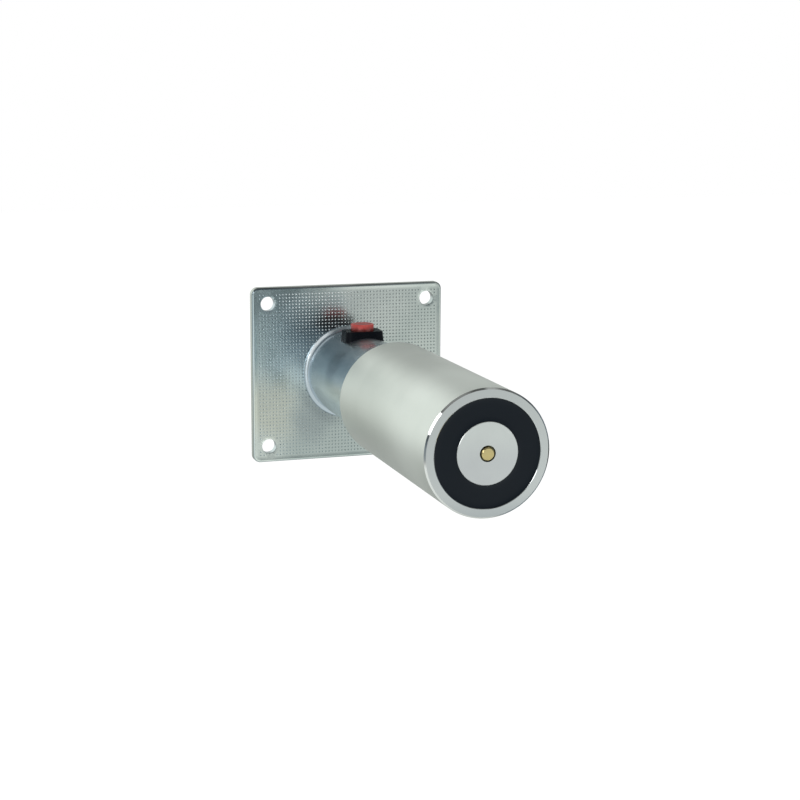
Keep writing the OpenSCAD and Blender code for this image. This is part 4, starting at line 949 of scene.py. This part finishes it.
def machined(name, low, high, matt, fine, *nodes):
    """Turned or sawn metal: two tones in tool marks, with scratches over them."""
    made, tree, shader = material(name, low, 1.0, matt)
    cut = use(tree, turnings, Fine=fine)["Along"]
    worn = use(tree, marks, Amount=0.20)
    tone = mixed(tree, worn["Scratches"], mixed(tree, cut, low, high), (0.85, 0.85, 0.85))
    surface(tree, shader, tone, plus(tree, cut, 0.12, matt - 0.06), cut, 0.2, 0.015)
    dress(made, *nodes)
    return made


SWITCH, GREY_LEADS = ("switch_housing", "saddle_washer"), ("switch_lead_a", "switch_lead_b")
CONTACTS = ("fixed_contacts", "contact_bridge", "terminal_cages")
SCREWS = ("board_screws", "terminal_screws")
plastic("rubber_black", (0.012, 0.012, 0.013), (0.022, 0.022, 0.023), 0.62, 0.7, "cable_grommet")
plastic("switch_black", (0.010, 0.011, 0.013), (0.018, 0.019, 0.022), 0.42, 1.0, *SWITCH)
plastic("plunger_ivory", (0.62, 0.60, 0.53), (0.70, 0.68, 0.60), 0.40, 1.0, "button_plunger")
plastic("cover_brown", (0.20, 0.035, 0.025), (0.27, 0.055, 0.035), 0.45, 0.8, "switch_cover")
plastic("block_green", (0.035, 0.20, 0.085), (0.045, 0.25, 0.11), 0.38, 1.0, "terminal_block")
plastic("bobbin_natural", (0.62, 0.58, 0.46), (0.70, 0.66, 0.55), 0.42, 0.8, "coil_bobbin")
plastic("diode_black", (0.010, 0.010, 0.011), (0.020, 0.020, 0.021), 0.30, 1.2, "suppressor_diode")
plastic("lead_red", (0.38, 0.030, 0.022), (0.46, 0.045, 0.035), 0.42, 1.0, "coil_lead_a")
plastic("lead_blue", (0.025, 0.070, 0.25), (0.035, 0.095, 0.31), 0.42, 1.0, "coil_lead_b")
plastic("lead_grey", (0.045, 0.048, 0.055), (0.065, 0.068, 0.075), 0.42, 1.0, *GREY_LEADS)
machined("ring_aluminium", (0.62, 0.63, 0.64), (0.74, 0.75, 0.76), 0.34, 0.5, "adapter_ring")
machined("nut_nickel_brass", (0.60, 0.56, 0.45), (0.72, 0.68, 0.56), 0.30, 0.8, "bezel_nut")
machined("dark_steel", (0.055, 0.058, 0.062), (0.085, 0.088, 0.092), 0.36, 1.2, "grub_screws", "spring_plug")
machined("yoke_iron", (0.50, 0.51, 0.52), (0.62, 0.63, 0.64), 0.36, 0.6, "yoke_disc")
machined("contact_brass", (0.66, 0.48, 0.16), (0.78, 0.60, 0.24), 0.30, 1.0, *CONTACTS)
machined("plated_spacer", (0.62, 0.65, 0.66), (0.74, 0.77, 0.78), 0.28, 1.0, "board_spacers")
machined("plated_screw", (0.58, 0.60, 0.60), (0.72, 0.74, 0.74), 0.28, 1.4, *SCREWS)


def waves(tree, scale, distortion, axis, **named):
    """Even bands across one axis."""
    inputs = {"Vector": here(tree), "Scale": scale, "Distortion": distortion, **named}
    return add(tree, "ShaderNodeTexWave", inputs, bands_direction=axis).outputs["Fac"]


wound_wire, tree, shader = material("copper_wire", (0.62, 0.27, 0.12), 1.0, 0.28)
turns = waves(tree, 650.0, 0.4, "Y", Detail=1.0)
feed(tree, shader, Base_Color=mixed(tree, turns, (0.30, 0.10, 0.04), (0.70, 0.31, 0.14)))
bumped(tree, shader, turns, 0.6, 0.15)
dress(wound_wire, "coil_winding")

wrap, tree, shader = material("yellow_tape", (0.62, 0.46, 0.07), 0.0, 0.32)
creases = noise(tree, here(tree), 260.0, Detail=5.0, Distortion=1.2)
feed(tree, shader, Base_Color=mixed(tree, creases, (0.54, 0.38, 0.05), (0.70, 0.54, 0.11)))
bumped(tree, shader, creases, 0.3, 0.15)
dress(wrap, "winding_tape")

laminate, tree, shader = material("glass_laminate", (0.05, 0.16, 0.07), 0.0, 0.34)
weave = times(tree, waves(tree, 420.0, 0.3, "X"), waves(tree, 420.0, 0.3, "Z"))
feed(tree, shader, Base_Color=mixed(tree, weave, (0.035, 0.125, 0.055), (0.065, 0.19, 0.085)))
bumped(tree, shader, weave, 0.2, 0.05)
dress(laminate, "terminal_board")


# Springs. The push-button's return spring under its contact bridge and the stronger one behind the pin
# are wound wire with closed end turns.
def coiled(wire, across, low, high, turns):
    """A wound wire about an upright axis between two heights. The end turns lie close and the others rise
    evenly. Returns points and faces."""
    steps, sides = int(turns * STEPS_A_TURN) + 1, WIRE_SIDES
    turn = np.linspace(0.0, turns, steps)
    rise = high - low - wire
    climb = np.interp(turn, [0.0, 1.0, turns - 1.0, turns], [0.0, wire, rise - wire, rise])
    height = low + wire / 2.0 + climb
    reach = (across - wire) / 2.0
    path = np.column_stack([reach * np.cos(2.0 * np.pi * turn), reach * np.sin(2.0 * np.pi * turn), height])
    along = np.gradient(path, axis=0)
    side = np.cross(along, (0.0, 0.0, 1.0))
    side /= np.linalg.norm(side, axis=1)[:, None]
    lift = np.cross(along, side)
    lift /= np.linalg.norm(lift, axis=1)[:, None]
    a = np.linspace(0.0, 2.0 * np.pi, sides, endpoint=False)[None, :, None]
    rings = path[:, None] + wire / 2.0 * (np.cos(a) * side[:, None] + np.sin(a) * lift[:, None])
    return np.concatenate([rings.reshape(-1, 3), path[:1], path[-1:]]), capped(steps, sides)


STEPS_A_TURN, WIRE_SIDES = 36, 12
SPRING_WIRE, SPRING_D, SPRING_TURNS = 0.4, 4.8, 4.0
SPRING_LOW, SPRING_HIGH, PRESS = 1.62, 5.93, 2.0
PIN_SPRING_WIRE, PIN_SPRING_D, PIN_SPRING_TURNS = 1.0, 8.8, 6.5
PIN_SPRING_LOW, PIN_SPRING_HIGH, PUSH_IN = 195.02, 216.93, 0.8
steel = machined("spring_steel", (0.42, 0.43, 0.44), (0.56, 0.57, 0.58), 0.26, 1.5)
spring_points, spring_faces = coiled(SPRING_WIRE, SPRING_D, SPRING_LOW, SPRING_HIGH, SPRING_TURNS)
spring_points = spring_points - [0.0, BUTTON_D, 0.0]
return_spring = mesh_piece("button_spring_wound", spring_points, spring_faces, "magnet")
return_spring.data.materials.append(steel)
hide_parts("button_spring")
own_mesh(return_spring)
spring_points, spring_faces = coiled(
    PIN_SPRING_WIRE, PIN_SPRING_D, PIN_SPRING_LOW, PIN_SPRING_HIGH, PIN_SPRING_TURNS
)
spring_points = spring_points[:, [0, 2, 1]] * [1.0, -1.0, 1.0]
pin_spring = mesh_piece("ejector_spring_wound", spring_points, spring_faces, "magnet")
pin_spring.data.materials.append(steel)
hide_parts("ejector_spring")
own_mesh(pin_spring)
